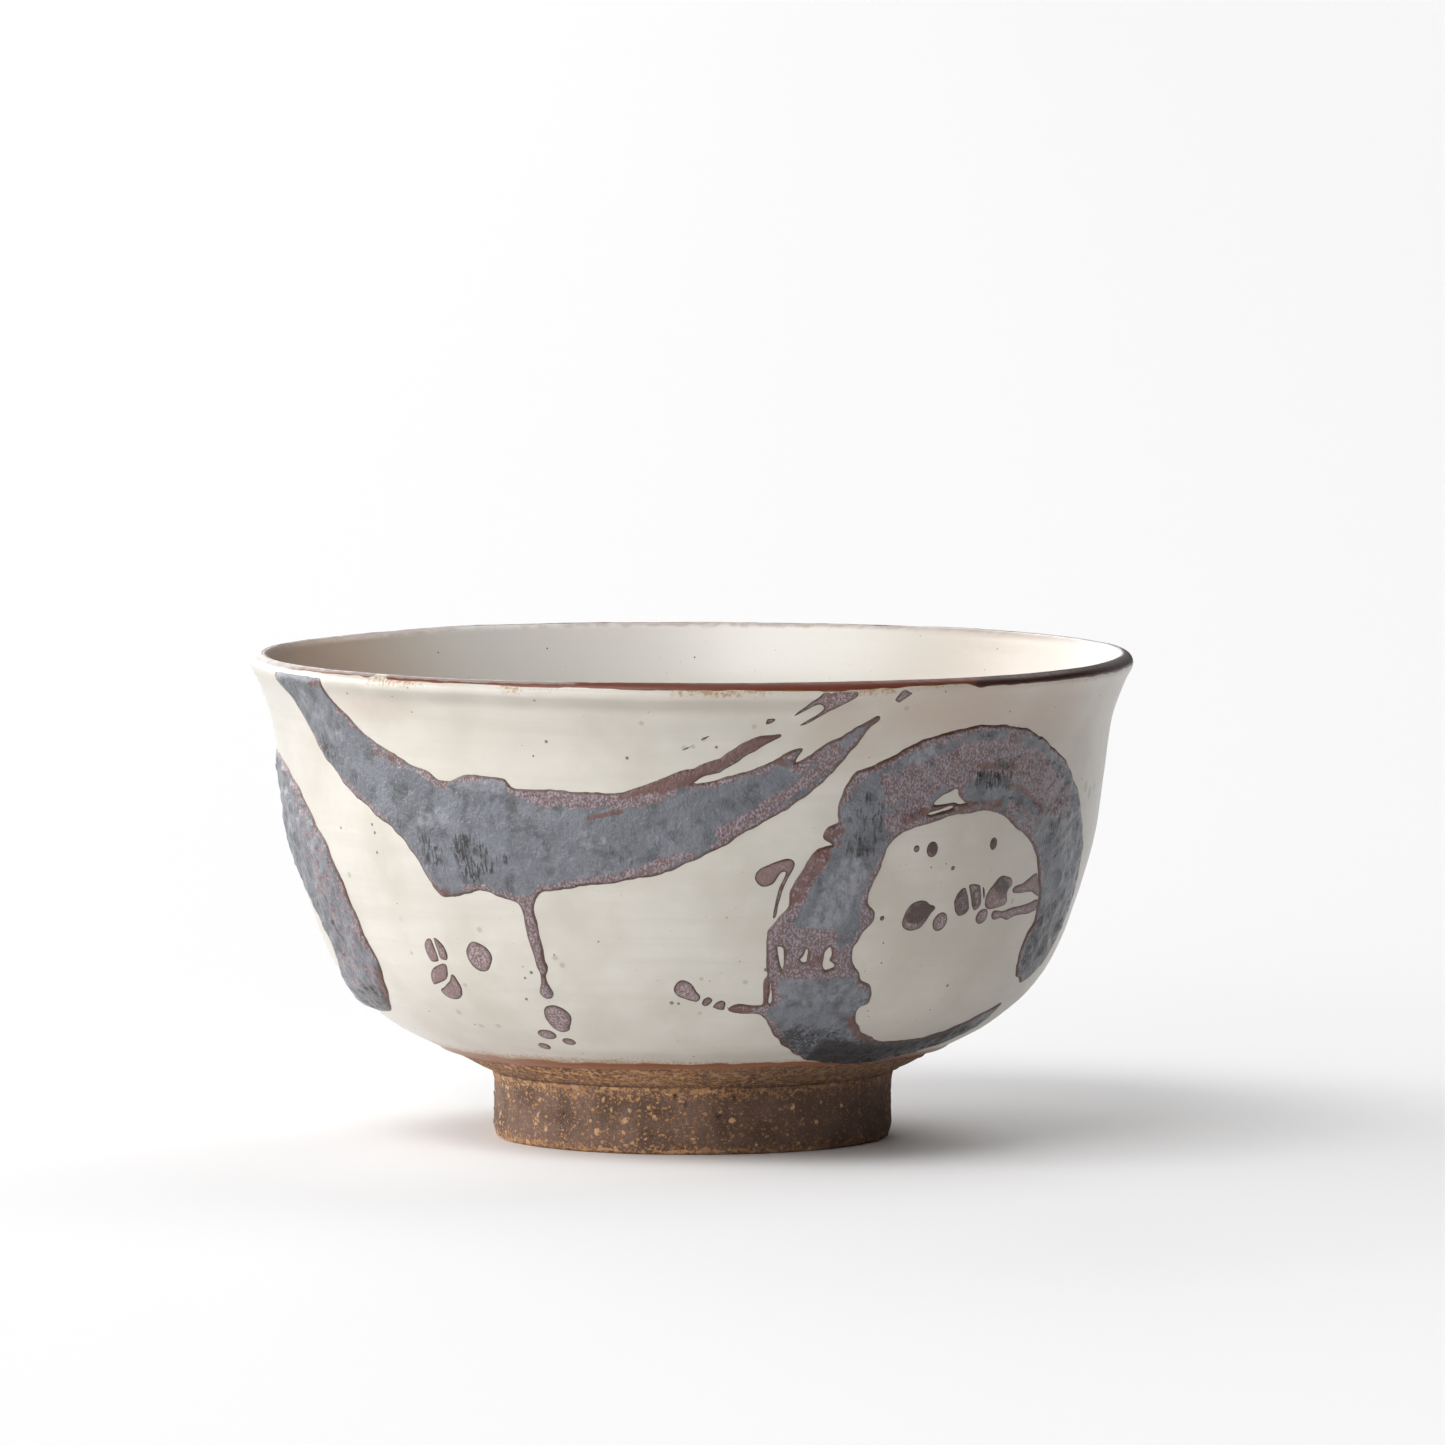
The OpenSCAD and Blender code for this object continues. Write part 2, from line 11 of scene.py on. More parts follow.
import bpy
import numpy as np
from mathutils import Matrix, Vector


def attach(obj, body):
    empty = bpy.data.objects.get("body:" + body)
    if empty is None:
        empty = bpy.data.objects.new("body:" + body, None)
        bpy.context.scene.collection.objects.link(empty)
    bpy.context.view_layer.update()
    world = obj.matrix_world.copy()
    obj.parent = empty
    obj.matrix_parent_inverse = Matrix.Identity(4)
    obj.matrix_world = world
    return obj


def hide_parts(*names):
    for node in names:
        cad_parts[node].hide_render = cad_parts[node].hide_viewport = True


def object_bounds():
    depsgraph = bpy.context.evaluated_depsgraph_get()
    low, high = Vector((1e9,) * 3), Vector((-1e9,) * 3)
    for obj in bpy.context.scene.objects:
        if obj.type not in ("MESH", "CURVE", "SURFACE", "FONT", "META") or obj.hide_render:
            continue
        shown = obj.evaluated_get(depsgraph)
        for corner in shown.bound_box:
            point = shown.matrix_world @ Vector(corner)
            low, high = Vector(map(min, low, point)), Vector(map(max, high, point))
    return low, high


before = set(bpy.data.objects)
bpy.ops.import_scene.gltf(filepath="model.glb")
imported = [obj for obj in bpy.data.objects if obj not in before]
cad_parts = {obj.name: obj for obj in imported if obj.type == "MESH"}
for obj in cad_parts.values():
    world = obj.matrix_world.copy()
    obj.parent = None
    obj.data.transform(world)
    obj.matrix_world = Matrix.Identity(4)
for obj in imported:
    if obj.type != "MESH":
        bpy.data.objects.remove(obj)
cad_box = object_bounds()

MM = 0.001
BODY = "root"

# ---- noise

LATTICE = np.random.default_rng(11).uniform(-1, 1, 1 << 16)

# How much of each noise, the width of its bumps in mm, and its seed
WALL_NOISES = (0.16, 24, 1), (0.05, 9, 2)
THROWING_NOISES = (0.035, 3.6, 3), (0.02, 1.5, 4)
OUTLINE_NOISES = (0.6, 2.4, 21), (0.4, 0.9, 22)
HAMMER_NOISES = (0.6, 2.4, 31), (0.4, 1.1, 32)
BAND_NOISES = (0.16, 7, 41), (0.10, 1.8, 42)
BAND_TOP_NOISES = (0.18, 6, 43), (0.10, 1.5, 44)
GLAZE_EDGE_NOISES = (0.14, 6, 61), (0.07, 1.7, 62)
CLAY_NOISES = (0.08, 16, 71), (0.035, 0.55, 73), (0.06, 1.7, 74)
TURNING_NOISES = ((0.04, 0.9, 72),)


def noise(p, cell, seed=0):
    """Smooth noise from -1 to 1 at points p, with bumps about one cell wide."""
    q = np.asarray(p, float) / cell + seed * 17.31
    low = np.floor(q).astype(np.int64)
    t = q - low
    t = t * t * t * (t * (6 * t - 15) + 10)
    total = 0.0
    for corner in itertools.product((0, 1), repeat=3):
        at = low + corner
        key = (at[..., 0] * 73856093) ^ (at[..., 1] * 19349663) ^ (at[..., 2] * 83492791)
        weight = np.prod(np.where(corner, t, 1 - t), axis=-1)
        total = total + weight * LATTICE[key & 0xFFFF]
    return total


def noises(p, parts):
    """A sum of noises, each given as how much of it, the width of its bumps and its seed."""
    return sum(amount * noise(p, cell, seed) for amount, cell, seed in parts)


def smooth_step(x, low, high):
    """0 at low, 1 at high and smooth between them, where low may be the larger number."""
    t = np.clip((x - low) / (high - low), 0, 1)
    return t * t * (3 - 2 * t)


def hump(x, start, full, fade, end):
    """Rises smoothly from 0 at start to 1 at full, and falls from fade back to 0 at end."""
    return smooth_step(x, start, full) * smooth_step(x, end, fade)


# ---- the skin, read from the frame


def vertices(node):
    """The corners of a CAD node's mesh, in mm."""
    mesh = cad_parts[node].data
    co = np.empty(3 * len(mesh.vertices), np.float32)
    mesh.vertices.foreach_get("co", co)
    return co.reshape(-1, 3).astype(float) / MM


def circles(node):
    """Radius and height of each circle that a turned CAD node is made of."""
    co = vertices(node)
    pairs = np.stack([np.hypot(co[:, 0], co[:, 1]), co[:, 2]], -1)
    return np.unique(pairs.round(3), axis=0)


# A coat's circles that are nearer to the clay than this lie against it
TOUCHING = 0.05
# Steps of the skin's path shorter than this are dropped
SHORTEST_STEP = 0.02


def glazed_circles(node):
    """The circles of a glaze coat that lie on its free side, away from the clay."""
    mine = circles(node)
    clay = circles("clay_body")
    gap = np.hypot(mine[:, None, 0] - clay[None, :, 0], mine[:, None, 1] - clay[None, :, 1])
    return mine[gap.min(1) > TOUCHING]


def read_skin():
    """The skin's path as radius and height, from the glaze's lower edge to the floor's middle."""
    outer = glazed_circles("outer_glaze")
    band = glazed_circles("rim_iron_band")
    inner = glazed_circles("inner_glaze")
    path = np.concatenate([
        outer[np.argsort(outer[:, 1])],
        band[np.argsort(-band[:, 0])],
        inner[np.argsort(-inner[:, 0])],
    ])
    step = np.hypot(*np.diff(path, axis=0).T)
    path = path[np.r_[True, step > SHORTEST_STEP]]
    length = np.r_[0, np.cumsum(np.hypot(*np.diff(path, axis=0).T))]
    return length, path[:, 0], path[:, 1]


def spline(x, knots, values):
    """A smooth curve through the knots."""
    slope = np.gradient(values, knots)
    i = np.clip(np.searchsorted(knots, x) - 1, 0, len(knots) - 2)
    h = knots[i + 1] - knots[i]
    t = (x - knots[i]) / h
    return ((1 + 2 * t) * (1 - t) ** 2 * values[i] + t * (1 - t) ** 2 * h * slope[i]
            + t * t * (3 - 2 * t) * values[i + 1] + t * t * (t - 1) * h * slope[i + 1])


SKIN_S, SKIN_R, SKIN_Z = read_skin()
S_END = SKIN_S[-1]
S_TOP = SKIN_S[np.argmax(SKIN_Z)]
LIP_Z = SKIN_Z.max()
OUTSIDE = SKIN_S <= S_TOP
# Where the CAD's iron band, and so the top of its brush marks, lies on the path
S_BAND = SKIN_S[OUTSIDE][np.argmin(np.abs(SKIN_Z[OUTSIDE] - glazed_circles("outer_glaze")[:, 1].max()))]


def s_at_height(z):
    """Path length at a height on the outside."""
    return np.interp(z, SKIN_Z[OUTSIDE], SKIN_S[OUTSIDE])


def skin_profile(s):
    """Radius, height and unit normal of the skin at path lengths s."""
    reach = 0.05
    s = np.clip(s, 0, S_END)
    a, b = np.clip(s - reach, 0, S_END), np.clip(s + reach, 0, S_END)
    dr = spline(b, SKIN_S, SKIN_R) - spline(a, SKIN_S, SKIN_R)
    dz = spline(b, SKIN_S, SKIN_Z) - spline(a, SKIN_S, SKIN_Z)
    size = np.hypot(dr, dz)
    return spline(s, SKIN_S, SKIN_R), spline(s, SKIN_S, SKIN_Z), dz / size, -dr / size


def turn(angle, r, z):
    """The point at an angle in degrees, a radius and a height."""
    a = np.radians(angle)
    return np.stack([r * np.sin(a), -r * np.cos(a), z + 0 * a], -1)


def unevenness(p, s):
    """How far the hand-thrown glazed wall stands out of the true shape."""
    rings = np.stack([p[..., 0] / 9, p[..., 1] / 9, s + 0 * p[..., 0]], -1)
    return noises(p, WALL_NOISES) + noises(rings, THROWING_NOISES)


def skin_point(angle, s, lift=0.0):
    """A point on the uneven skin, lifted along its normal."""
    r, z, nr, nz = skin_profile(s)
    calm = smooth_step(r, 0, 8)
    out = lift + calm * unevenness(turn(angle, r, z), s)
    return turn(angle, np.maximum(r + nr * out, 0), z + nz * out)


# ---- mesh making


def make_piece(name, points, faces, node, material, values=None, rims=None):
    """A smooth closed piece from points in mm. values are named numbers on its points."""
    mesh = bpy.data.meshes.new(name)
    points = np.ascontiguousarray(points * MM, np.float32)
    counts = np.array([len(f) for f in faces])
    corners = np.concatenate([np.asarray(f, np.int32).ravel() for f in faces])
    sizes = np.concatenate([np.full(len(f), f.shape[1], np.int32) for f in faces])
    mesh.vertices.add(len(points))
    mesh.vertices.foreach_set("co", points.ravel())
    mesh.loops.add(len(corners))
    mesh.loops.foreach_set("vertex_index", corners)
    mesh.polygons.add(int(counts.sum()))
    mesh.polygons.foreach_set("loop_start", np.r_[0, np.cumsum(sizes)[:-1]].astype(np.int32))
    mesh.update(calc_edges=True)
    mesh.validate()
    mesh.shade_smooth()
    for key, value in (values or {}).items():
        layer = mesh.attributes.new(key, "FLOAT", "POINT")
        layer.data.foreach_set("value", np.ascontiguousarray(value, np.float32))
    if rims is not None:
        mark_rims(mesh, rims)
    piece = bpy.data.objects.new(name, mesh)
    bpy.context.scene.collection.objects.link(piece)
    mesh.materials.append(material)
    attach(piece, BODY)
    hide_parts(node)
    return piece


def mark_rims(mesh, rims):
    """Keeps the edge between a relief's top and its underside sharp."""
    ends = np.empty(2 * len(mesh.edges), np.int32)
    mesh.edges.foreach_get("vertices", ends)
    layer = mesh.attributes.new("sharp_edge", "BOOLEAN", "EDGE")
    layer.data.foreach_set("value", rims[ends.reshape(-1, 2)].all(1))


def revolved_faces(rows, around, poles):
    """Quads between rings of points, with a pole of triangles at each end, or else a closed loop."""
    start = [0]
    for row in range(rows):
        start.append(start[-1] + (1 if poles and row in (0, rows - 1) else around))
    j = np.arange(around)
    k = (j + 1) % around
    quads, triangles = [], []
    for row in range(rows - 1 if poles else rows):
        below, above = start[row], start[(row + 1) % rows]
        if poles and row == 0:
            triangles.append(np.stack([below + 0 * j, above + k, above + j], -1))
        elif poles and row == rows - 2:
            triangles.append(np.stack([below + j, below + k, above + 0 * j], -1))
        else:
            quads.append(np.stack([below + j, below + k, above + k, above + j], -1))
    made = [np.concatenate(quads)]
    if triangles:
        made.append(np.concatenate(triangles))
    return made


def clip_grid(depth, wrap):
    """Cuts a grid to where depth is above 0.

    Gives the triangles as numbers of grid points, where a number past the grid's last one is
    a cut edge, and the grid points at the two ends of each cut edge.
    """
    rows, cols = depth.shape
    index = np.arange(rows * cols).reshape(rows, cols)
    if wrap:
        index = np.concatenate([index, index[:, :1]], 1)
    a, b, c, e = index[:-1, :-1], index[:-1, 1:], index[1:, 1:], index[1:, :-1]
    odd = (np.indices(a.shape).sum(0) % 2).astype(bool)
    one = np.where(odd[..., None], np.stack([a, b, c], -1), np.stack([a, b, e], -1))
    two = np.where(odd[..., None], np.stack([a, c, e], -1), np.stack([b, c, e], -1))
    tris = np.concatenate([one.reshape(-1, 3), two.reshape(-1, 3)])
    inside = depth.ravel()[tris] > 0
    count = inside.sum(1)

    def led_by(rows_chosen, wanted):
        """The chosen triangles, turned so that the corner that differs comes first."""
        chosen, flags = tris[rows_chosen], inside[rows_chosen]
        lead = np.argmax(flags == wanted, 1)
        order = (lead[:, None] + np.arange(3)) % 3
        return np.take_along_axis(chosen, order, 1)

    tips, bases = led_by(count == 1, True), led_by(count == 2, False)
    cuts = np.concatenate([tips[:, [0, 1]], tips[:, [0, 2]], bases[:, [0, 1]], bases[:, [0, 2]]])
    ends, which = np.unique(np.sort(cuts, 1), axis=0, return_inverse=True)
    which = which.ravel() + rows * cols
    t, u = len(tips), len(bases)
    t1, t2 = which[:t], which[t:2 * t]
    b1, b2 = which[2 * t:2 * t + u], which[2 * t + u:]
    made = np.concatenate([
        tris[count == 3],
        np.stack([tips[:, 0], t1, t2], -1),
        np.stack([b1, bases[:, 1], bases[:, 2]], -1),
        np.stack([b1, bases[:, 2], b2], -1),
    ])
    return made, ends


# How deep a relief's rim sits in the glaze, and how thick its hidden underside is
SINK = 0.04
UNDER = 0.12


def relief_piece(name, node, material, angles, lengths, depth, rise, extra, wrap=False):
    """A closed piece that stands on the skin where depth is above 0.

    depth is how far each grid point lies inside the outline. rise gives the relief's height, and
    extra gives more named values for the material.
    """
    grid_angle, grid_s = np.meshgrid(angles, lengths)
    depth = np.where(np.abs(depth) < 0.01, 0.01, depth)
    tris, ends = clip_grid(depth, wrap)
    flat_angle, flat_s, flat_depth = grid_angle.ravel(), grid_s.ravel(), depth.ravel()
    d0, d1 = flat_depth[ends[:, 0]], flat_depth[ends[:, 1]]
    share = d0 / (d0 - d1)
    turn_by = flat_angle[ends[:, 1]] - flat_angle[ends[:, 0]]
    turn_by = (turn_by + 180) % 360 - 180
    cut_angle = flat_angle[ends[:, 0]] + share * turn_by
    cut_s = flat_s[ends[:, 0]] + share * (flat_s[ends[:, 1]] - flat_s[ends[:, 0]])
    used = np.unique(tris[tris < depth.size])
    inner, rim = len(used), len(ends)
    number = np.empty(depth.size + rim, np.int64)
    number[used] = np.arange(inner)
    number[depth.size:] = inner + np.arange(rim)
    top = number[tris]
    under = np.where(top < inner, top + inner + rim, top)[:, ::-1]
    angle = np.r_[flat_angle[used], cut_angle]
    s = np.r_[flat_s[used], cut_s]
    deep = np.r_[flat_depth[used], np.zeros(rim)]
    r, z, _, _ = skin_profile(s)
    place = turn(angle, r, z)
    lift = rise(deep, place, z) - SINK
    lift[inner:] = -SINK
    above = skin_point(angle, s, lift)
    below = skin_point(angle[:inner], s[:inner], -SINK - UNDER * (1 - np.exp(-deep[:inner] / 0.2)))
    named = {"depth": deep, **extra(angle, z)}
    named = {key: np.r_[value, value[:inner]] for key, value in named.items()}
    rims = np.zeros(2 * inner + rim, bool)
    rims[inner:inner + rim] = True
    points = np.concatenate([above, below])
    return make_piece(name, points, [np.concatenate([top, under])], node, material, named, rims)


# ---- brush marks, outlined by the frame


def base_edges(node):
    """The border of a brush mark's face on the skin, as pairs of points."""
    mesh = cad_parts[node].data
    mesh.calc_loop_triangles()
    tris = np.empty(3 * len(mesh.loop_triangles), np.int32)
    mesh.loop_triangles.foreach_get("vertices", tris)
    co = vertices(node)
    unique, weld = np.unique(co.round(3), axis=0, return_inverse=True)
    tris = weld.ravel()[tris.reshape(-1, 3)]
    corner = unique[tris]
    normal = np.cross(corner[:, 1] - corner[:, 0], corner[:, 2] - corner[:, 0])
    size = np.linalg.norm(normal, axis=1)
    middle = corner.mean(1)
    _, _, nr, nz = skin_profile(s_at_height(middle[:, 2]))
    outward = np.stack([middle[:, 0], middle[:, 1]], -1)
    outward /= np.linalg.norm(outward, axis=1)[:, None]
    facing = (normal[:, :2] * outward).sum(1) * nr + normal[:, 2] * nz
    base = tris[(size > 1e-9) & (facing < -0.8 * size)]
    sides = np.concatenate([base[:, [0, 1]], base[:, [1, 2]], base[:, [2, 0]]])
    _, first, times = np.unique(np.sort(sides, 1), axis=0, return_index=True, return_counts=True)
    return unique, sides[first[times == 1]]


def walk_loops(edges):
    """Joins directed edges end to end into closed loops of point numbers."""
    follow = {}
    for a, b in edges.tolist():
        follow.setdefault(a, []).append(b)
    loops = []
    while follow:
        start = next(iter(follow))
        loop, at = [], start
        while at in follow:
            loop.append(at)
            step = follow[at].pop()
            if not follow[at]:
                del follow[at]
            at = step
        loops.append(loop)
    return loops


def soft_loop(angle, s, spacing, rounding):
    """A closed outline with even steps and with its corners rounded."""
    r = skin_profile(s)[0]
    step = np.hypot(np.radians(np.diff(angle, append=angle[0])) * r, np.diff(s, append=s[0]))
    along = np.r_[0, np.cumsum(step)]
    count = max(12, int(along[-1] / spacing))
    at = np.arange(count) * along[-1] / count
    spread = min(rounding, along[-1] * 0.02) / (along[-1] / count)
    reach = np.arange(-count // 2, count // 2)
    weight = np.exp(-0.5 * (reach / spread) ** 2)
    kernel = np.fft.fft(np.fft.ifftshift(weight / weight.sum()), count)
    soft = [
        np.fft.ifft(np.fft.fft(np.interp(at, along, np.r_[v, v[0]])) * kernel).real
        for v in (angle, s)
    ]
    return np.stack(soft, -1)


# A stroke that reaches the lip runs on under the iron band
TUCK = 1.25
TUCK_NEAR = 0.12


def outline(node, spacing=0.4, rounding=0.45):
    """The loops round a node's brush marks, each as rows of angle and path length."""
    points, edges = base_edges(node)
    angle = np.degrees(np.arctan2(points[:, 0], -points[:, 1]))
    middle = points.mean(0)
    centre = math.degrees(math.atan2(middle[0], -middle[1]))
    angle = (angle - centre + 180) % 360 - 180 + centre
    s = s_at_height(points[:, 2])
    s = np.where(s > S_BAND - TUCK_NEAR, s + TUCK, s)
    return [soft_loop(angle[loop], s[loop], spacing, rounding) for loop in walk_loops(edges)
            if len(loop) > 3]


def inside_depth(angles, lengths, loops, reach=2.5):
    """How far each point of a grid lies inside the loops, in mm, and below 0 outside them."""
    a = np.concatenate(loops)
    b = np.concatenate([np.roll(loop, -1, axis=0) for loop in loops])
    radius = skin_profile(lengths)[0]
    depth = np.empty((len(lengths), len(angles)))
    for row, (s, r) in enumerate(zip(lengths, radius)):
        scale = math.radians(1) * r
        near = (np.minimum(a[:, 1], b[:, 1]) < s + reach) & (np.maximum(a[:, 1], b[:, 1]) > s - reach)
        distance = np.full(len(angles), reach)
        if near.any():
            ax = (a[near, 0] - angles[:, None]) * scale
            bx = (b[near, 0] - angles[:, None]) * scale
            ay, by = a[near, 1] - s, b[near, 1] - s
            dx, dy = bx - ax, (by - ay)[None, :]
            t = np.clip(-(ax * dx + ay * dy) / np.maximum(dx * dx + dy * dy, 1e-12), 0, 1)
            distance = np.minimum(np.hypot(ax + t * dx, ay + t * dy).min(1), reach)
        crossed = (a[:, 1] > s) != (b[:, 1] > s)
        where = a[crossed, 0] + (s - a[crossed, 1]) / (b[crossed, 1] - a[crossed, 1]) * (
            b[crossed, 0] - a[crossed, 0])
        within = (where[None, :] > angles[:, None]).sum(1) % 2 == 1
        depth[row] = np.where(within, distance, -distance)
    return depth


def patches(angle, z, spots):
    """Soft oval patches: angle, height, half length, half width, tilt in degrees and strength."""
    total = np.zeros(np.shape(angle))
    radius = skin_profile(s_at_height(z))[0]
    for spot_angle, spot_z, length, width, tilt, strength in spots:
        x = np.radians(angle - spot_angle) * radius
        y = z - spot_z
        c, k = math.cos(math.radians(tilt)), math.sin(math.radians(tilt))
        u, v = (x * c + y * k) / length, (y * c - x * k) / width
        total = np.maximum(total, strength * np.exp(-((u * u + v * v) ** 1.5)))
    return total


def painted(angle, z, paths):
    """How strongly soft paths of a brush cover each point, from 0 to 1.

    A path is its half width in mm, its strength, and then its points as angle and height.
    """
    total = np.zeros(np.shape(angle))
    scale = math.radians(1) * skin_profile(s_at_height(z))[0]
    for half_width, strength, *points in paths:
        away = np.full(np.shape(angle), 99.0)
        for (a0, z0), (a1, z1) in zip(points, points[1:] or points):
            along_x, along_z = (a1 - a0) * scale, z1 - z0
            x, y = (angle - a0) * scale, z - z0
            size = np.maximum(along_x ** 2 + along_z ** 2, 1e-9)
            share = np.clip((x * along_x + y * along_z) / size, 0, 1)
            away = np.minimum(away, np.hypot(x - share * along_x, y - share * along_z))
        total = np.maximum(total, strength * smooth_step(away, 1.4 * half_width, 0.5 * half_width))
    return total


# How far a mark spreads past its CAD outline, and the grid's margin round it
GROW = 0.09
MARGIN = 1.2
# How low the hammering of a mark's top may dip, so that it never sinks under the glaze
DEEPEST_DENT = -0.5
ZONES = ("thin", "rust", "dark", "pale")


def brush_mark(node, slot, material, height, hammer, cell, wobble, zones):
    """A brush mark of iron with a rounded, hammered top, cut to its CAD node's outline."""
    loops = outline(node)
    every = np.concatenate(loops)
    low, high = every.min(0), every.max(0)
    radius = skin_profile((low[1:2] + high[1:2]) / 2)[0][0]
    step = math.degrees(cell / radius)
    angles = np.arange(low[0] - MARGIN * step / cell, high[0] + MARGIN * step / cell, step)
    lengths = np.arange(max(low[1] - MARGIN, 0.05), high[1] + MARGIN, cell)
    depth = inside_depth(angles, lengths, loops) + GROW
    r, z, _, _ = skin_profile(lengths)
    place = turn(angles[None, :], r[:, None], z[:, None])
    depth = depth + wobble * noises(place, OUTLINE_NOISES)

    def rise(deep, at, z_at):
        body = 1 - np.exp(-deep / 0.3)
        bumps = np.maximum(noises(at, HAMMER_NOISES), DEEPEST_DENT)
        near_lip = smooth_step(z_at, LIP_Z - 2.2, LIP_Z - 0.7)
        top = height + hammer * bumps * smooth_step(deep, 0.1, 1.2)
        return body * top * (1 - near_lip)

    def extra(angle, z_at):
        return {zone: painted(angle, z_at, zones.get(zone, ())) for zone in ZONES}

    return relief_piece(node + "_relief", node, material, angles, lengths, depth, rise, extra)


# ---- shader helpers


class Nodes:
    """A node tree being built. Each call adds a node and gives back its result."""

    def __init__(self, tree):
        self.tree = tree
        self.tree.nodes.clear()

    def put(self, kind, inputs, output=0, **settings):
        """Adds a node with its inputs linked or set, and gives one of its outputs."""
        node = self.tree.nodes.new(kind)
        for key, value in settings.items():
            setattr(node, key, value)
        for key, value in inputs.items():
            if isinstance(value, bpy.types.NodeSocket):
                self.tree.links.new(value, node.inputs[key])
            else:
                node.inputs[key].default_value = value
        return node.outputs[output]

    def math(self, operation, a, b=0.0):
        return self.put("ShaderNodeMath", {0: a, 1: b}, operation=operation)

    def plus(self, a, b):
        return self.math("ADD", a, b)

    def times(self, a, b):
        return self.math("MULTIPLY", a, b)

    def ramp(self, value, low, high, start=0.0, end=1.0):
        """Goes smoothly from start to end as value goes from low to high."""
        inputs = {"Value": value, "From Min": low, "From Max": high, "To Min": start, "To Max": end}
        return self.put("ShaderNodeMapRange", inputs, interpolation_type="SMOOTHSTEP")


class Shader(Nodes):
    """A material being built."""

    def __init__(self, name):
        self.material = bpy.data.materials.new(name)
        self.material.use_nodes = True
        super().__init__(self.material.node_tree)
        self.place = self.put("ShaderNodeTexCoord", {}, "Object")

    def value(self, name):
        """A named number on the mesh's points."""
        return self.put("ShaderNodeAttribute", {}, "Fac", attribute_name=name)

    def stretched(self, x, y, z):
        """The place with each axis scaled, so that what it steers is drawn out where it is small."""
        return self.put("ShaderNodeVectorMath", {0: self.place, 1: (x, y, z)}, operation="MULTIPLY")

    def clouds(self, size, detail=2.0, rough=0.5, at=None):
        """Soft noise from 0 to 1, with features of a size in mm."""
        inputs = {"Vector": at or self.place, "Scale": 1 / (size * MM), "Detail": detail,
                  "Roughness": rough}
        return self.put("ShaderNodeTexNoise", inputs, "Fac")

    def cells(self, size, output="Distance"):
        """Round cells of a size in mm: the distance from each middle, or a color for each."""
        inputs = {"Vector": self.place, "Scale": 1 / (size * MM)}
        return self.put("ShaderNodeTexVoronoi", inputs, output)

    def mix(self, factor, a, b):
        return self.put("ShaderNodeMix", {0: factor, 6: a, 7: b}, 2, data_type="RGBA")

    def cover(self, factor, color):
        """Lays a color over the material's color so far."""
        self.color = self.mix(factor, self.color, color)

    def lay(self, color, value, low, high, strength=1.0):
        """Lays a color where a value is high: none of it at low, and its full strength at high."""
        self.cover(self.ramp(value, low, high, 0.0, strength), color)

    def uneven(self, value, size, amount, detail=3.0, rough=0.5):
        """A value with soft noise added, so that what it steers gets a ragged border."""
        noise_here = self.ramp(self.clouds(size, detail, rough), 0.3, 0.7, -amount, amount)
        return self.plus(value, noise_here)

    def specks(self, size, share, radius, soft=0.35):
        """1 in round specks of a radius in mm, in a share of cells of a size in mm, else 0."""
        scale = radius / size
        spot = self.ramp(self.cells(size), scale * (1 + soft), scale * (1 - soft))
        tone = self.put("ShaderNodeSeparateColor", {"Color": self.cells(size, "Color")}, 0)
        return self.times(spot, self.math("LESS_THAN", tone, share))

    def dot(self, angle, z, radius):
        """1 in one round speck on the outer wall, else 0."""
        centre = skin_point(np.array([angle]), s_at_height(np.array([z])))[0] * MM
        inputs = {0: self.place, 1: tuple(centre)}
        gap = self.put("ShaderNodeVectorMath", inputs, "Value", operation="DISTANCE")
        return self.ramp(gap, 1.3 * radius * MM, 0.6 * radius * MM)

    def finish(self, roughness, bump, bump_height_m, ior):
        """Joins the color so far, the roughness and a bump into the material."""
        inputs = {"Height": bump, "Distance": bump_height_m, "Strength": 1.0}
        bumped = self.put("ShaderNodeBump", inputs)
        inputs = {"Base Color": self.color, "Roughness": roughness, "Normal": bumped, "IOR": ior}
        shader = self.put("ShaderNodeBsdfPrincipled", inputs)
        out = self.tree.nodes.new("ShaderNodeOutputMaterial")
        self.tree.links.new(shader, out.inputs["Surface"])
        return self.material


# ---- materials

CREAM = (0.585, 0.555, 0.5, 1)
CREAM_GREY = (0.505, 0.475, 0.415, 1)
CREAM_PALE = (0.64, 0.615, 0.565, 1)
# Painted light: a lighter copy of the cream for the inside, which has the same glaze
CREAM_INSIDE_LIT = (0.71, 0.685, 0.64, 1)
BLUSH = (0.46, 0.36, 0.29, 1)
# Painted light: a lighter copy of the blush for the inside
BLUSH_INSIDE_LIT = (0.64, 0.49, 0.39, 1)
OCHRE = (0.36, 0.22, 0.105, 1)
RED_BROWN = (0.25, 0.095, 0.043, 1)
SPECK = (0.10, 0.075, 0.055, 1)
SMUDGE = (0.36, 0.345, 0.31, 1)
OLIVE = (0.30, 0.29, 0.21, 1)
# Painted shade: the grey that darkens the cream under the lip, high at the far left and inside on the
# right
PAINTED_SHADE = (0.36, 0.33, 0.285, 1)
LIP_WASH = (0.44, 0.36, 0.32, 1)
CREAM_ROUGH = 0.31
MATT = 0.85
GLAZE_IOR, IRON_IOR, DULL_IOR = 1.5, 1.55, 1.45

SLATE = (0.115, 0.122, 0.139, 1)
SLATE_SOFT = (0.15, 0.158, 0.18, 1)
SLATE_PALE = (0.235, 0.24, 0.265, 1)
SLATE_DARK = (0.064, 0.066, 0.073, 1)
LAVENDER = (0.275, 0.225, 0.255, 1)
IRON_BROWN = (0.135, 0.078, 0.072, 1)
IRON_RUST = (0.125, 0.055, 0.044, 1)
IRON_EDGE = (0.08, 0.036, 0.023, 1)
IRON_BLACK = (0.026, 0.025, 0.026, 1)

DROP_BROWN = (0.19, 0.118, 0.108, 1)
DROP_MID = (0.24, 0.165, 0.158, 1)
DROP_BLOOM = (0.36, 0.3, 0.33, 1)
DROP_DARK = (0.05, 0.027, 0.02, 1)

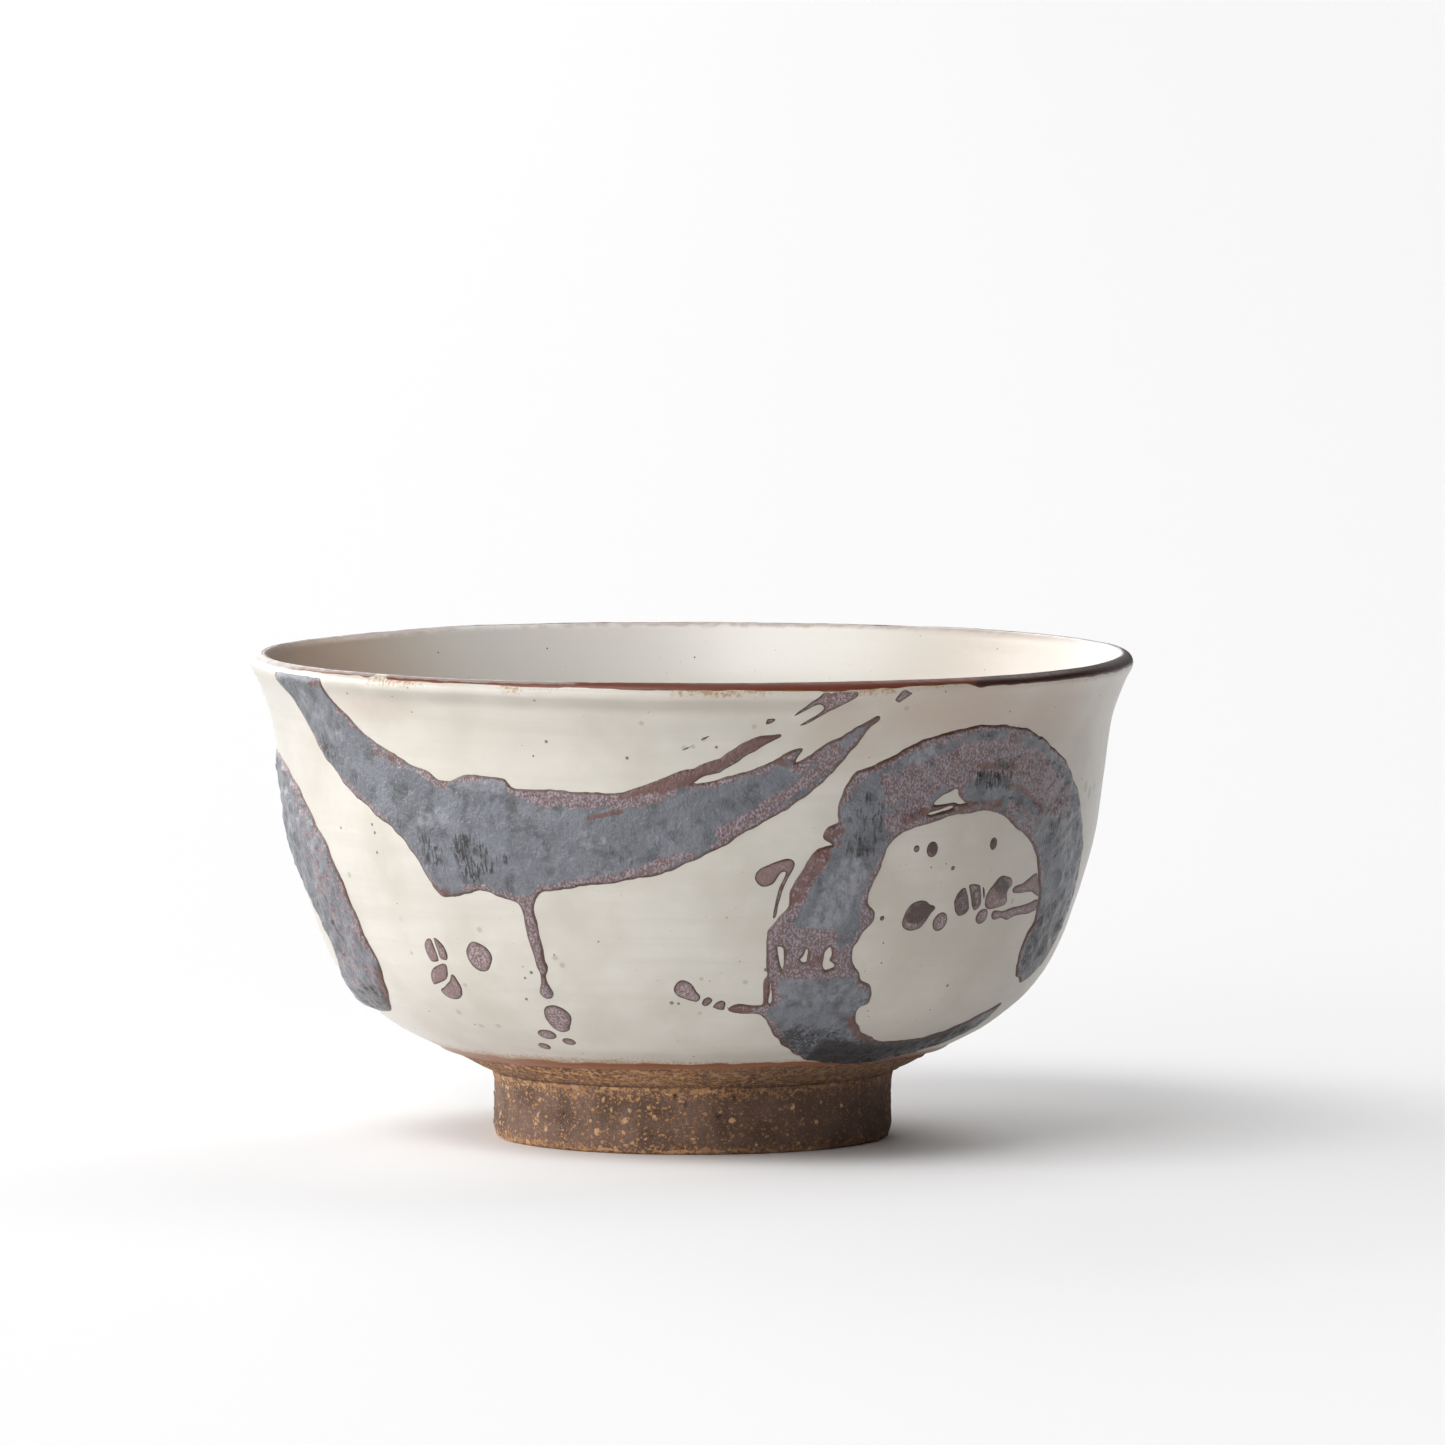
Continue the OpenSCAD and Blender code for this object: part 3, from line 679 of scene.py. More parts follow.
LIP_RED = (0.14, 0.038, 0.019, 1)
LIP_BLACK = (0.045, 0.016, 0.011, 1)
# Pale iron at the lip's left end, also used as a painted highlight along its top
LIP_PALE_AND_HIGHLIGHT = (0.30, 0.235, 0.215, 1)
# Painted sheen: greys the band to mauve round the right end
LIP_MAUVE_SHEEN = (0.16, 0.13, 0.135, 1)

CLAY_GREY = (0.185, 0.115, 0.085, 1)
CLAY_BROWN = (0.09, 0.052, 0.035, 1)
CLAY_OCHRE = (0.49, 0.245, 0.1, 1)
CLAY_GROG = (0.53, 0.315, 0.165, 1)
CLAY_PIT = (0.010, 0.009, 0.009, 1)

# Iron specks in the cream glaze: angle, height and radius in mm
DARK_SPECKS = [
    (-25.4, 26.4, 0.26), (-26.7, 25.6, 0.20), (-27.5, 22.6, 0.24), (3.3, 57.5, 0.22), (-8.6, 56, 0.24),
    (-19.6, 58, 0.24), (-3.2, 22.6, 0.30), (-2.1, 22.5, 0.22), (45.1, 23.6, 0.25), (-50.7, 63.2, 0.2),
    (-20.4, 63.6, 0.2), (-50.2, 44.3, 0.24), (-50.3, 41.6, 0.22), (-50.6, 45.4, 0.22),
    (-58.6, 44.4, 0.22), (11.4, 27.2, 0.32),
]
SOFT_SMUDGES = [
    (-33, 32, 0.42), (-20, 27.6, 0.4), (-21, 28.6, 0.4), (-36, 18.4, 0.45), (-40, 18.2, 0.45),
    (-43, 20, 0.5), (-58.7, 38, 0.45), (-6.5, 60.8, 0.35), (8.2, 60.3, 0.35), (29, 62.2, 0.4),
    (1.5, 26, 0.3), (8.3, 25.5, 0.35), (1.3, 21.1, 0.3), (54.5, 34.7, 0.4), (72, 49, 0.8),
    (74.5, 48, 0.9), (77, 48.6, 0.7), (-1, 57.4, 0.35), (0.2, 57.6, 0.3), (1.6, 58.6, 0.35),
    (-38.5, 24.1, 0.35), (-48, 28, 0.3),
]


def joined(m, spots):
    """1 inside any of a list of round specks."""
    total = m.dot(*spots[0])
    for spot in spots[1:]:
        total = m.math("MAXIMUM", total, m.dot(*spot))
    return total


def cream_glaze():
    """Semi-gloss cream glaze with faint throwing lines, iron specks, a warm blush, painted shade and a
    lighter painted-light copy inside.
    """
    m = Shader("cream_glaze")
    lines = m.clouds(2.2, 3, 0.65, m.stretched(0.05, 0.05, 1.0))
    m.color = m.mix(m.ramp(m.clouds(11, 3), 0.35, 0.72), CREAM, CREAM_GREY)
    m.lay(CREAM_PALE, m.clouds(5, 2), 0.50, 0.80, 0.4)
    m.lay(CREAM_GREY, lines, 0.42, 0.68, 0.45)
    m.lay(CREAM_GREY, m.clouds(0.8, 3, 0.7), 0.55, 0.8, 0.30)
    # Painted light: the inside gets the lighter copy of the cream
    m.cover(m.value("inside"), CREAM_INSIDE_LIT)
    blush = m.mix(m.value("inside"), BLUSH, BLUSH_INSIDE_LIT)
    m.cover(m.value("blush"), blush)
    m.cover(m.times(m.specks(6.5, 0.40, 0.36, 0.8), 0.35), SMUDGE)
    m.cover(m.specks(2.1, 0.30, 0.13), SPECK)
    m.cover(m.specks(0.95, 0.20, 0.055, 0.5), SPECK)
    m.cover(m.times(joined(m, SOFT_SMUDGES), 0.55), OLIVE)
    m.cover(m.times(joined(m, DARK_SPECKS), 0.85), SPECK)
    m.lay(LIP_WASH, m.uneven(m.value("wash"), 1.5, 0.2), 0.2, 0.9, 0.8)
    # Painted shade: darkens the cream under the lip, high at the far left and on the inner right wall
    m.cover(m.times(m.value("painted_shade"), 0.55), PAINTED_SHADE)
    m.lay(OCHRE, m.uneven(m.value("ochre"), 0.45, 0.40, 3, 0.7), 0.30, 1.1, 0.9)
    m.lay(RED_BROWN, m.value("line"), 0.30, 0.75)
    skin = m.plus(m.times(m.clouds(1.3, 2), 0.6), m.times(lines, 0.4))
    return m.finish(CREAM_ROUGH, skin, 0.00006, GLAZE_IOR)


def iron_glaze():
    """Thick iron brushwork: satin slate blue that breaks to frosted mauve and rust where thin."""
    m = Shader("iron_glaze")
    depth, thin = m.value("depth"), m.value("thin")
    grain = m.clouds(0.26, 2, 0.6, m.stretched(1.0, 1.0, 0.65))
    m.color = m.mix(m.ramp(m.clouds(5.5, 3), 0.36, 0.64), SLATE, SLATE_SOFT)
    m.lay(SLATE_DARK, m.clouds(2.6, 3), 0.48, 0.68, 0.85)
    m.lay(SLATE_PALE, m.uneven(m.value("pale"), 1.2, 0.25), 0.15, 0.8, 0.9)
    hairs = m.clouds(0.34, 2, 0.6, m.stretched(1.0, 1.0, 0.12))
    m.lay(SLATE_DARK, hairs, 0.54, 0.70, 0.45)
    m.lay(SLATE_PALE, grain, 0.52, 0.66, 0.30)
    edge = m.times(m.ramp(depth, 0.35, 1.5, 1.0, 0.0), m.ramp(m.clouds(4.5, 2), 0.38, 0.56))
    broken = m.uneven(m.math("MAXIMUM", edge, thin), 1.5, 0.30)
    frosted = m.mix(m.ramp(grain, 0.46, 0.58), IRON_BROWN, LAVENDER)
    m.lay(frosted, broken, 0.20, 0.62, 0.92)
    rust = m.uneven(m.value("rust"), 0.9, 0.38, 3, 0.65)
    m.lay(IRON_RUST, rust, 0.32, 0.85, 0.92)
    hair_dark = m.ramp(hairs, 0.38, 0.62, -0.5, 0.4)
    black = m.uneven(m.plus(m.value("dark"), hair_dark), 1.4, 0.22)
    m.lay(IRON_BLACK, black, 0.42, 1.10)
    rim = m.uneven(depth, 0.8, 0.10, 2)
    outline_here = m.ramp(m.clouds(5.0, 2), 0.32, 0.62, 0.6, 1.0)
    outline_here = m.times(m.ramp(rim, 0.26, 0.52, 1, 0), outline_here)
    m.cover(outline_here, IRON_EDGE)
    rough = m.ramp(m.clouds(1.1, 2), 0.3, 0.7, 0.27, 0.42)
    bump = m.plus(m.clouds(0.7, 3), m.times(grain, 0.4))
    return m.finish(rough, bump, 0.00020, IRON_IOR)


def iron_thin():
    """Thin iron drops and flicks: red-brown, frosted with mauve in the middle."""
    m = Shader("iron_thin")
    depth = m.value("depth")
    grain = m.clouds(0.28, 2, 0.6)
    m.color = m.mix(m.ramp(m.clouds(1.6, 3), 0.35, 0.65), DROP_BROWN, DROP_MID)
    bloom = m.uneven(m.ramp(depth, 0.35, 1.0), 1.2, 0.40)
    bloom = m.times(m.ramp(bloom, 0.15, 0.8), m.ramp(grain, 0.46, 0.60))
    m.cover(m.times(bloom, 0.9), DROP_BLOOM)
    m.lay(DROP_DARK, grain, 0.50, 0.40, 0.45)
    m.lay(DROP_DARK, m.uneven(m.value("dark"), 1.0, 0.2), 0.1, 0.8, 0.92)
    m.lay(DROP_BROWN, m.uneven(m.value("rust"), 1.0, 0.3), 0.2, 0.9, 0.8)
    rim = m.uneven(depth, 0.7, 0.08, 2)
    m.cover(m.ramp(rim, 0.16, 0.42, 0.95, 0), DROP_DARK)
    rough = m.ramp(m.clouds(1.0, 2), 0.3, 0.7, 0.30, 0.44)
    return m.finish(rough, grain, 0.00006, GLAZE_IOR)


def rim_iron():
    """Iron on the lip: red-brown in front, dark and then painted-sheen mauve at the right, paler at the
    left with a painted highlight on top.
    """
    m = Shader("rim_iron")
    patchy = m.ramp(m.clouds(2.5, 3), 0.3, 0.7, -0.25, 0.25)
    # Pale iron at the left end and a painted highlight along the top
    m.color = m.mix(m.ramp(m.plus(m.value("pale"), patchy), 0.2, 0.8), LIP_RED, LIP_PALE_AND_HIGHLIGHT)
    m.lay(LIP_BLACK, m.plus(m.value("dark"), patchy), 0.2, 0.8)
    # Painted sheen: mauve grey over the band round the right end
    m.cover(m.times(m.value("mauve_sheen"), 0.9), LIP_MAUVE_SHEEN)
    near = m.plus(m.value("depth"), m.times(patchy, 0.4))
    m.cover(m.ramp(near, 0.05, 0.30, 0.5, 0), OCHRE)
    rough = m.ramp(m.clouds(1.5, 2), 0.3, 0.7, 0.30, 0.44)
    return m.finish(rough, m.clouds(0.9, 3), 0.00005, DULL_IOR)


def bare_clay():
    """Unglazed grogged stoneware: brown-grey with ochre grains, round and ragged, turning lines, and
    painted shade on the right and in the groove.
    """
    m = Shader("bare_clay")
    lines = m.clouds(0.9, 3, 0.6, m.stretched(0.05, 0.05, 1.0))
    m.color = m.mix(m.ramp(m.clouds(5, 3), 0.35, 0.7), CLAY_GREY, CLAY_BROWN)
    m.lay(CLAY_BROWN, m.clouds(0.35, 3, 0.7), 0.42, 0.70, 0.60)
    more = m.times(m.value("warm"), 0.10)
    small = m.plus(m.clouds(0.34, 2, 0.6), more)
    m.lay(CLAY_OCHRE, small, 0.59, 0.67, 0.65)
    middling = m.plus(m.clouds(0.75, 3, 0.65, m.stretched(1.0, 1.0, 1.25)), more)
    m.lay(CLAY_OCHRE, middling, 0.60, 0.66, 0.8)
    large = m.plus(m.clouds(1.15, 3, 0.6, m.stretched(0.9, 0.9, 1.3)), more)
    m.lay(CLAY_GROG, large, 0.655, 0.69, 0.95)
    m.cover(m.times(m.specks(1.25, 0.45, 0.26, 0.3), 0.85), CLAY_OCHRE)
    m.cover(m.times(m.specks(0.8, 0.30, 0.14, 0.4), 0.85), CLAY_GROG)
    m.lay(CLAY_BROWN, lines, 0.5, 0.75, 0.35)
    # Painted shade: the clay darkens towards its right side, away from the light
    m.cover(m.times(m.value("painted_shade_clay"), 0.48), CLAY_BROWN)
    m.lay(CLAY_GROG, m.uneven(m.value("grog"), 0.4, 0.25), 0.25, 0.6)
    m.lay(CLAY_PIT, m.uneven(m.value("pit"), 0.3, 0.2), 0.25, 0.6)
    # Painted shade in the groove above the foot, mostly at the front
    m.lay(CLAY_BROWN, m.value("painted_groove_shade"), 0.2, 0.9, 0.75)
    bump = m.plus(m.clouds(0.4, 4, 0.65), m.times(lines, 0.7))
    return m.finish(MATT, bump, 0.00022, DULL_IOR)


# ---- glaze coats

# Points round a coat and round the lip's band, and how thick a coat is
AROUND = 900
BAND_AROUND = 960
COAT = 0.5
# How far the lip's iron band comes down the outside from the lip's top, along the skin
BAND_FRONT = 1.35
BAND_MIDDLE = 0.40
BAND_RIGHT = 2.3
# How far it reaches past the top, to the inside
BAND_INSIDE = 0.30
# Where the glaze bites into the band, as in patches, and how deep
LIP_CHIP = (-44.5, 64.9, 1.2, 3, 0, 1.0)
CHIP_BITE = 1.2


def band_below(angle):
    """How far the lip's iron band comes down the outside, along the skin from the top."""
    p = turn(angle, 60.0, 0 * np.asarray(angle, float))
    wide = hump(angle, 37.5, 40.5, 112, 140)
    middle = BAND_MIDDLE * smooth_step(np.abs(angle - 2), 34, 8)
    even = BAND_FRONT + middle + (BAND_RIGHT - BAND_FRONT) * wide
    even = even + 0.35 * hump(angle, 6, 18, 38, 42)
    return even + noises(p, BAND_NOISES)


# Warm blush patches: angle, height, half length, half width, tilt and strength. The strong ones high on
# the right, from 20 to 66 degrees, darken the upper right wall.
OUTER_BLUSH = [
    (-34, 58, 15, 5, 0, 0.15), (-46, 61.8, 9, 2.4, 0, 0.45), (38, 61.5, 16, 4.6, 0, 0.8),
    (55, 60, 13, 5.5, 0, 0.7), (66, 56, 6, 7, 0, 0.35), (24, 58, 7, 4, 40, 0.35),
    (-44, 22, 8, 5, 0, 0.08), (20, 61.5, 7, 3, 30, 0.45), (3, 63.4, 24, 1.6, 0, 0.3),
    (130, 59, 20, 5, 0, 0.35), (190, 58, 24, 6, 0, 0.4), (-120, 59, 18, 5, 0, 0.3),
    (26, 63, 5, 2.5, 0, 0.5), (50, 32, 30, 22, 0, 0.18),
]
# Where the iron band bleeds into the cream below it: angle and half width in degrees
STRONG_BLEED = [(3.5, 6), (-42, 5), (-23.5, 1.5), (24, 3)]


def outer_marks(angle, s):
    """Named values of the cream glaze outside: blush, ochre bleed, painted shade and the line at its
    edge.

    A value that a coat does not have is 0 in the material.
    """
    z = skin_profile(s)[1]
    p = turn(angle, 55.0, z)
    below_band = S_TOP - band_below(angle) - s
    bleed = smooth_step(below_band, 1.0, 0.0) * (0.30 + 0.30 * noise(p, 9, 51))
    for at, half_width in STRONG_BLEED:
        close = smooth_step(np.abs(angle - at), half_width * 1.5, half_width * 0.6)
        bleed = np.maximum(bleed, 0.7 * close * smooth_step(below_band, 1.4, 0.2))
    heavy = 0.5 + 0.5 * smooth_step(angle, 15, -15)
    up = (s - glaze_edge(angle)) / (1 - glaze_edge(angle) / EDGE_REACH)
    low = smooth_step(up, 6.5 * heavy, 2.2) * (0.95 * heavy + 0.2 * noise(p, 5, 55))
    width = (0.9 + 1.5 * heavy) * (0.9 + 0.35 * noise(p, 3.0, 52))
    line = smooth_step(up, width + 1.1, width - 0.6)
    # Painted shade: a grey band just under the lip's iron band, where the flared lip shades the wall
    painted_shade = hump(below_band, 0.8, 1.5, 2.2, 3.6)
    painted_shade = painted_shade * (0.75 + 0.3 * noise(p, 4, 56)) * smooth_step(np.abs(angle + 18), 52, 30)
    # Painted shade that darkens the upper wall at the far left
    far_left = hump(angle, -130, -110, -74, -60) * smooth_step(z, 44, 62)
    painted_shade = np.maximum(painted_shade, 0.55 * far_left)
    return {"blush": patches(angle, z, OUTER_BLUSH), "ochre": np.maximum(bleed, low), "line": line,
            "painted_shade": painted_shade}


def inner_marks(angle, s):
    """Named values of the cream glaze inside: a thin iron wash under the lip, blush and painted shade on
    the right wall.
    """
    r, z, _, _ = skin_profile(s)
    p = turn(angle, 50.0, z)
    past = s - S_TOP - BAND_INSIDE
    wash = smooth_step(past, 1.6, 0.1) * (0.75 + 0.35 * noise(p, 8, 53))
    left = hump(angle, -150, -118, -80, -40)
    right = hump(angle, 60, 90, 128, 160)
    # Painted shade that darkens the inner right wall, which faces the windows' light
    right_shade = hump(angle, 20, 70, 140, 178) * smooth_step(r, 15, 48)
    right_shade = right_shade * (0.15 + 0.75 * smooth_step(angle, 66, 90))
    blush = 0.25 * smooth_step(noise(p, 26, 54), -0.1, 0.9) * smooth_step(r, 20, 45)
    blush = np.maximum(blush, np.maximum(0.9 * left, 0.5 * right) * smooth_step(z, 30, 60))
    return {"blush": blush, "wash": wash, "painted_shade": right_shade, "inside": np.ones_like(blush)}


# The bead at the glaze's lower edge, and how far up the skin it and the edge's unevenness reach
EDGE_BEAD = 0.22
BEAD_FADE = 0.7
EDGE_REACH = 9
# Where the lower edge lies, as how far up the skin at each angle: it hangs lowest at the left
EDGE_ANGLES = (-180, -110, -60, -42, -30, -16, 0, 12, 20, 30, 40, 60, 110, 180)
EDGE_RISES = (2.0, 2.0, 0.7, 0.25, 0.65, 1.1, 1.6, 2.3, 2.9, 2.0, 1.5, 2.0, 2.0, 2.0)


def glaze_edge(angle):
    """How far up the skin the outer glaze's lower edge lies."""
    p = turn(angle, 35.0, 0 * np.asarray(angle, float))
    even = np.interp(angle, EDGE_ANGLES, EDGE_RISES)
    return even + noises(p, GLAZE_EDGE_NOISES)


def coat(node, material, lengths, lifts, marks, poles):
    """A closed glaze coat: rings of points at path lengths, lifted off the skin or sunk in it."""
    angle = np.arange(AROUND) * 360 / AROUND
    angle = (angle + 180) % 360 - 180
    edge = glaze_edge(angle)
    points, values = [], []
    for s, lift in zip(lengths, lifts):
        at, ring = angle, s + edge * max(0.0, 1 - s / EDGE_REACH)
        if poles and s > S_END - 1e-6:
            at, ring = np.zeros(1), np.full(1, s)
        if lift == 0:
            lift = EDGE_BEAD * math.exp(-s / BEAD_FADE) if s > 0 else -COAT / 2
        points.append(skin_point(at, ring, lift))
        values.append(marks(at, ring))
    named = {key: np.concatenate([v[key] for v in values]) for key in values[0]}
    faces = revolved_faces(len(lengths), AROUND, poles)
    make_piece(node + "_coat", np.concatenate(points), faces, node, material, named)


def outer_coat(material):
    """The cream glaze outside, from its wavy lower edge to the top of the lip."""
    free = np.r_[0, 0.06, np.arange(0.15, 3, 0.15), np.arange(3, S_TOP - 4, 0.45),
                 np.linspace(S_TOP - 4, S_TOP, 22)]
    hidden = np.linspace(S_TOP, 0, 30)
    lifts = np.r_[np.zeros(len(free)), np.full(len(hidden), -COAT)]
    coat("outer_glaze", material, np.r_[free, hidden], lifts, outer_marks, False)


def inner_coat(material):
    """The cream glaze inside, from the top of the lip to the middle of the floor."""
    hidden = np.linspace(S_END, S_TOP, 40)
    free = np.r_[np.linspace(S_TOP, S_TOP + 3, 14), np.arange(S_TOP + 3.4, S_END, 0.6), S_END]
    lifts = np.r_[np.full(len(hidden), -COAT), np.zeros(len(free))]
    coat("inner_glaze", material, np.r_[hidden, free], lifts, inner_marks, True)


def lip_band(material):
    """The iron band over the lip, with an uneven lower edge."""
    angles = np.sort((np.arange(BAND_AROUND) * 360 / BAND_AROUND + 180) % 360 - 180)
    lengths = np.arange(S_TOP - 4.2, S_TOP + 2.0, 0.13)
    grid_angle, grid_s = np.meshgrid(angles, lengths)
    p = turn(grid_angle, 60.0, 0 * grid_s)
    low = S_TOP - band_below(grid_angle)
    high = S_TOP + BAND_INSIDE + noises(p, BAND_TOP_NOISES)
    chip = patches(grid_angle, LIP_CHIP[1] + 0 * grid_s, [LIP_CHIP])
    depth = np.minimum(grid_s - low, high - grid_s) - CHIP_BITE * chip * (grid_s < S_TOP)

    def rise(deep, at, _):
        return (0.09 + 0.02 * noise(at, 2, 45)) * (1 - np.exp(-deep / 0.25))

    def extra(angle, z):
        dark = hump(angle, 37, 41, 110, 150)
        left = hump(angle, -160, -130, -22, -8)
        # Painted highlight: the band's top is paler at the left, where the crest catches the light
        painted_highlight_top = smooth_step(z, LIP_Z - 0.45, LIP_Z - 0.15)
        pale = left * np.maximum(0.95 * painted_highlight_top, 0.8 * smooth_step(angle, -58, -68))
        # Painted sheen: the band greys to mauve round the right end
        mauve_sheen = hump(angle, 58, 78, 120, 160)
        return {"dark": dark, "pale": pale, "mauve_sheen": mauve_sheen}

    relief_piece("lip_iron_band", "rim_iron_band", material, angles, lengths, depth,
                 rise, extra, wrap=True)


# ---- bare clay

CLAY_AROUND = 800
GROG_COUNT = 160
PIT_COUNT = 16
BODY_GROG_COUNT = 120
BODY_PIT_COUNT = 8
GROG_RISE = 0.16
PIT_DEPTH = 0.45
# The clay's roughness fades out towards the axis, and is less on the flat that the foot stands on
CALM_RADIUS = 6
STANDING_Z = 0.15
STANDING_SHARE = 0.2
# Grog lumps and pits on the front of the foot: angle, height and radius
FOOT_LUMPS = [(-28, 3.0, 0.9), (-67, 6.5, 0.6), (-19.5, 4.6, 0.8), (11.3, 4.6, 0.8), (30, 6.2, 0.6)]
FOOT_PITS = [(-11.5, 2.8, 0.5), (8, 5.3, 0.5), (12.6, 7.8, 0.4), (-4.6, 8, 0.6), (-40, 5, 0.35)]


def scattered(count, low, high, small, large, seed):
    """Random places and sizes: angle, height and radius."""
    random = np.random.default_rng(seed)
    ranges = ((-180, 180), (low, high), (small, large))
    return np.stack([random.uniform(a, b, count) for a, b in ranges], -1)


def near_spots(p, spots, ring_radius):
    """How deep each point lies in the nearest spot: 1 in its middle, 0 outside.

    ring_radius gives the clay's outer radius at a height, where the spots lie.
    """
    centre = turn(spots[:, 0], ring_radius(spots[:, 1]), spots[:, 1])
    found = np.zeros(len(p))
    for c, size in zip(centre, spots[:, 2]):
        close = (np.abs(p - c) < size).all(1)
        if close.any():
            gap = np.linalg.norm(p[close] - c, axis=1)
            found[close] = np.maximum(found[close], np.clip(1 - gap / size, 0, 1))
    return found


def resample(path, spacing):
    """Even steps along a path of corners."""
    path = np.asarray(path, float)
    along = np.r_[0, np.cumsum(np.hypot(*np.diff(path, axis=0).T))]
    at = np.linspace(0, along[-1], max(2, int(along[-1] / spacing) + 1))
    return np.stack([np.interp(at, along, path[:, 0]), np.interp(at, along, path[:, 1])], -1)


def turned_clay(name, node, loop, poles, warm, grog, pits, ring_radius, material):
    """A turned clay piece with grain, grog lumps, pits, fine turning lines and painted shade."""
    angle = np.arange(CLAY_AROUND) * 360 / CLAY_AROUND
    tangent = np.gradient(loop, axis=0)
    tangent /= np.hypot(tangent[:, 0], tangent[:, 1])[:, None]
    out_r, out_z = tangent[:, 1], -tangent[:, 0]
    points = []
    for row, ((r, z), nr, nz) in enumerate(zip(loop, out_r, out_z)):
        if poles and row in (0, len(loop) - 1):
            points.append(turn(np.zeros(1), 0.0, np.full(1, z)))
            continue
        p = turn(angle, r, z)
        rings = np.stack([p[:, 0] / 14, p[:, 1] / 14, np.full(CLAY_AROUND, z + r)], -1)
        out = noises(p, CLAY_NOISES) + noises(rings, TURNING_NOISES)
        out = out + GROG_RISE * near_spots(p, grog, ring_radius)
        out = out - PIT_DEPTH * near_spots(p, pits, ring_radius)
        out = out * min(1.0, r / CALM_RADIUS) * (STANDING_SHARE if z < STANDING_Z else 1.0)
        ring = turn(angle, r + nr * out, 0.0)
        ring[:, 2] = np.maximum(z + nz * out, 0.0)
        points.append(ring)
    stacked = np.concatenate(points)
    front = smooth_step(np.degrees(np.arctan2(stacked[:, 0], -stacked[:, 1])), 5, -20)
    named = {
        "warm": warm(stacked),
        # Painted shade: darker towards +X, the side away from the light
        "painted_shade_clay": smooth_step(stacked[:, 0], -3, 10),
        "grog": near_spots(stacked, grog, ring_radius),
        "pit": near_spots(stacked, pits, ring_radius),
        # Painted shade in the groove, mostly at the front
        "painted_groove_shade": smooth_step(np.abs(stacked[:, 2] - GROOVE_Z), 0.40, 0.0) * (0.05 + 0.6 * front),
    }
    faces = revolved_faces(len(loop), CLAY_AROUND, poles)
    make_piece(name, stacked, faces, node, material, named)


FOOT = circles("foot_ring")
FOOT_TOP_R = FOOT[:, 0].max()
GROOVE_Z = FOOT[FOOT[:, 0] > FOOT_TOP_R - 0.05, 1].max()


def ordered_loop(points):
    """A ring's profile in order round its middle, anticlockwise."""
    middle = (points.max(0) + points.min(0)) / 2
    turned = np.arctan2(points[:, 1] - middle[1], points[:, 0] - middle[0])
    return points[np.argsort(turned)]


def foot_piece(material):
    """The foot ring, from its own CAD profile."""
    loop = ordered_loop(FOOT)
    path = resample(np.concatenate([loop, loop[:1]]), 0.26)[:-1]
    outer = loop[loop[:, 0] > FOOT_TOP_R - 3]
    outer = outer[np.argsort(outer[:, 1])]

    def ring_radius(z):
        return np.interp(z, outer[:, 1], outer[:, 0])

    def warm(p):
        ends = smooth_step(p[:, 2], GROOVE_Z - 2.5, GROOVE_Z) + smooth_step(p[:, 2], 1.6, 0.3)
        return np.clip(ends, 0, 1)

    grog = np.concatenate([scattered(GROG_COUNT, 0.2, GROOVE_Z, 0.2, 0.55, 81), FOOT_LUMPS])
    pits = np.concatenate([scattered(PIT_COUNT, 1.0, GROOVE_Z - 0.8, 0.2, 0.45, 82), FOOT_PITS])
    turned_clay("foot_ring_clay", "foot_ring", path, False, warm, grog, pits, ring_radius, material)


def body_piece(material):
    """The clay body: its bare underside, and the wall that the glaze hides."""
    clay = circles("clay_body")
    underside = clay[(clay[:, 1] < SKIN_Z[0] + 0.25) & (clay[:, 0] <= SKIN_R[0] + 0.2)]
    low = underside[np.argsort(underside[:, 0])]
    floor_side = low[low[:, 0] < FOOT_TOP_R + 0.1]
    bare_side = low[low[:, 0] > FOOT_TOP_R - 0.1]
    s = np.linspace(0.1, 4.4, 20)
    r, z, nr, nz = skin_profile(s)
    sink = 0.10 + 0.04 * s + 0.3 * smooth_step(s, 3.2, 4.4)
    under_glaze = np.stack([r - nr * sink, z - nz * sink], -1)
    r, z, nr, nz = skin_profile(np.linspace(4.9, S_END, 60))
    hidden = np.stack([np.maximum(r - nr * 0.8, 0), z - nz * 0.8], -1)
    hidden[-1, 0] = 0
    path = np.concatenate([
        resample(floor_side, 0.7)[:-1],
        resample(bare_side, 0.25)[:-1],
        under_glaze,
        hidden,
    ])

    def ring_radius(height):
        return np.interp(height, bare_side[:, 1], bare_side[:, 0])

    def warm(p):
        return 0.9 * smooth_step(p[:, 2], GROOVE_Z - 0.5, GROOVE_Z + 0.8)

    grog = scattered(BODY_GROG_COUNT, GROOVE_Z, SKIN_Z[0] - 0.3, 0.2, 0.45, 83)
    pits = scattered(BODY_PIT_COUNT, GROOVE_Z + 0.5, SKIN_Z[0] - 0.5, 0.2, 0.35, 84)
    turned_clay("clay_body_bare", "clay_body", path, True, warm, grog, pits, ring_radius, material)


# ---- stage, light and camera

FLOOR_RADIUS_M = 14.0
FLOOR_CORNERS = 64
# Painted shade: the floor darkens between this far to the left and this far to the right
FLOOR_FADE_M = 0.25
FLOOR_GRAIN = 3.0
FLOOR_BUMP_M = 0.00002
FLOOR_IOR = 1.4
FLOOR_PALE = (0.93, 0.925, 0.93, 1)
# Painted shade: the floor's colour at the right
FLOOR_PAINTED_SHADE = (0.86, 0.855, 0.86, 1)

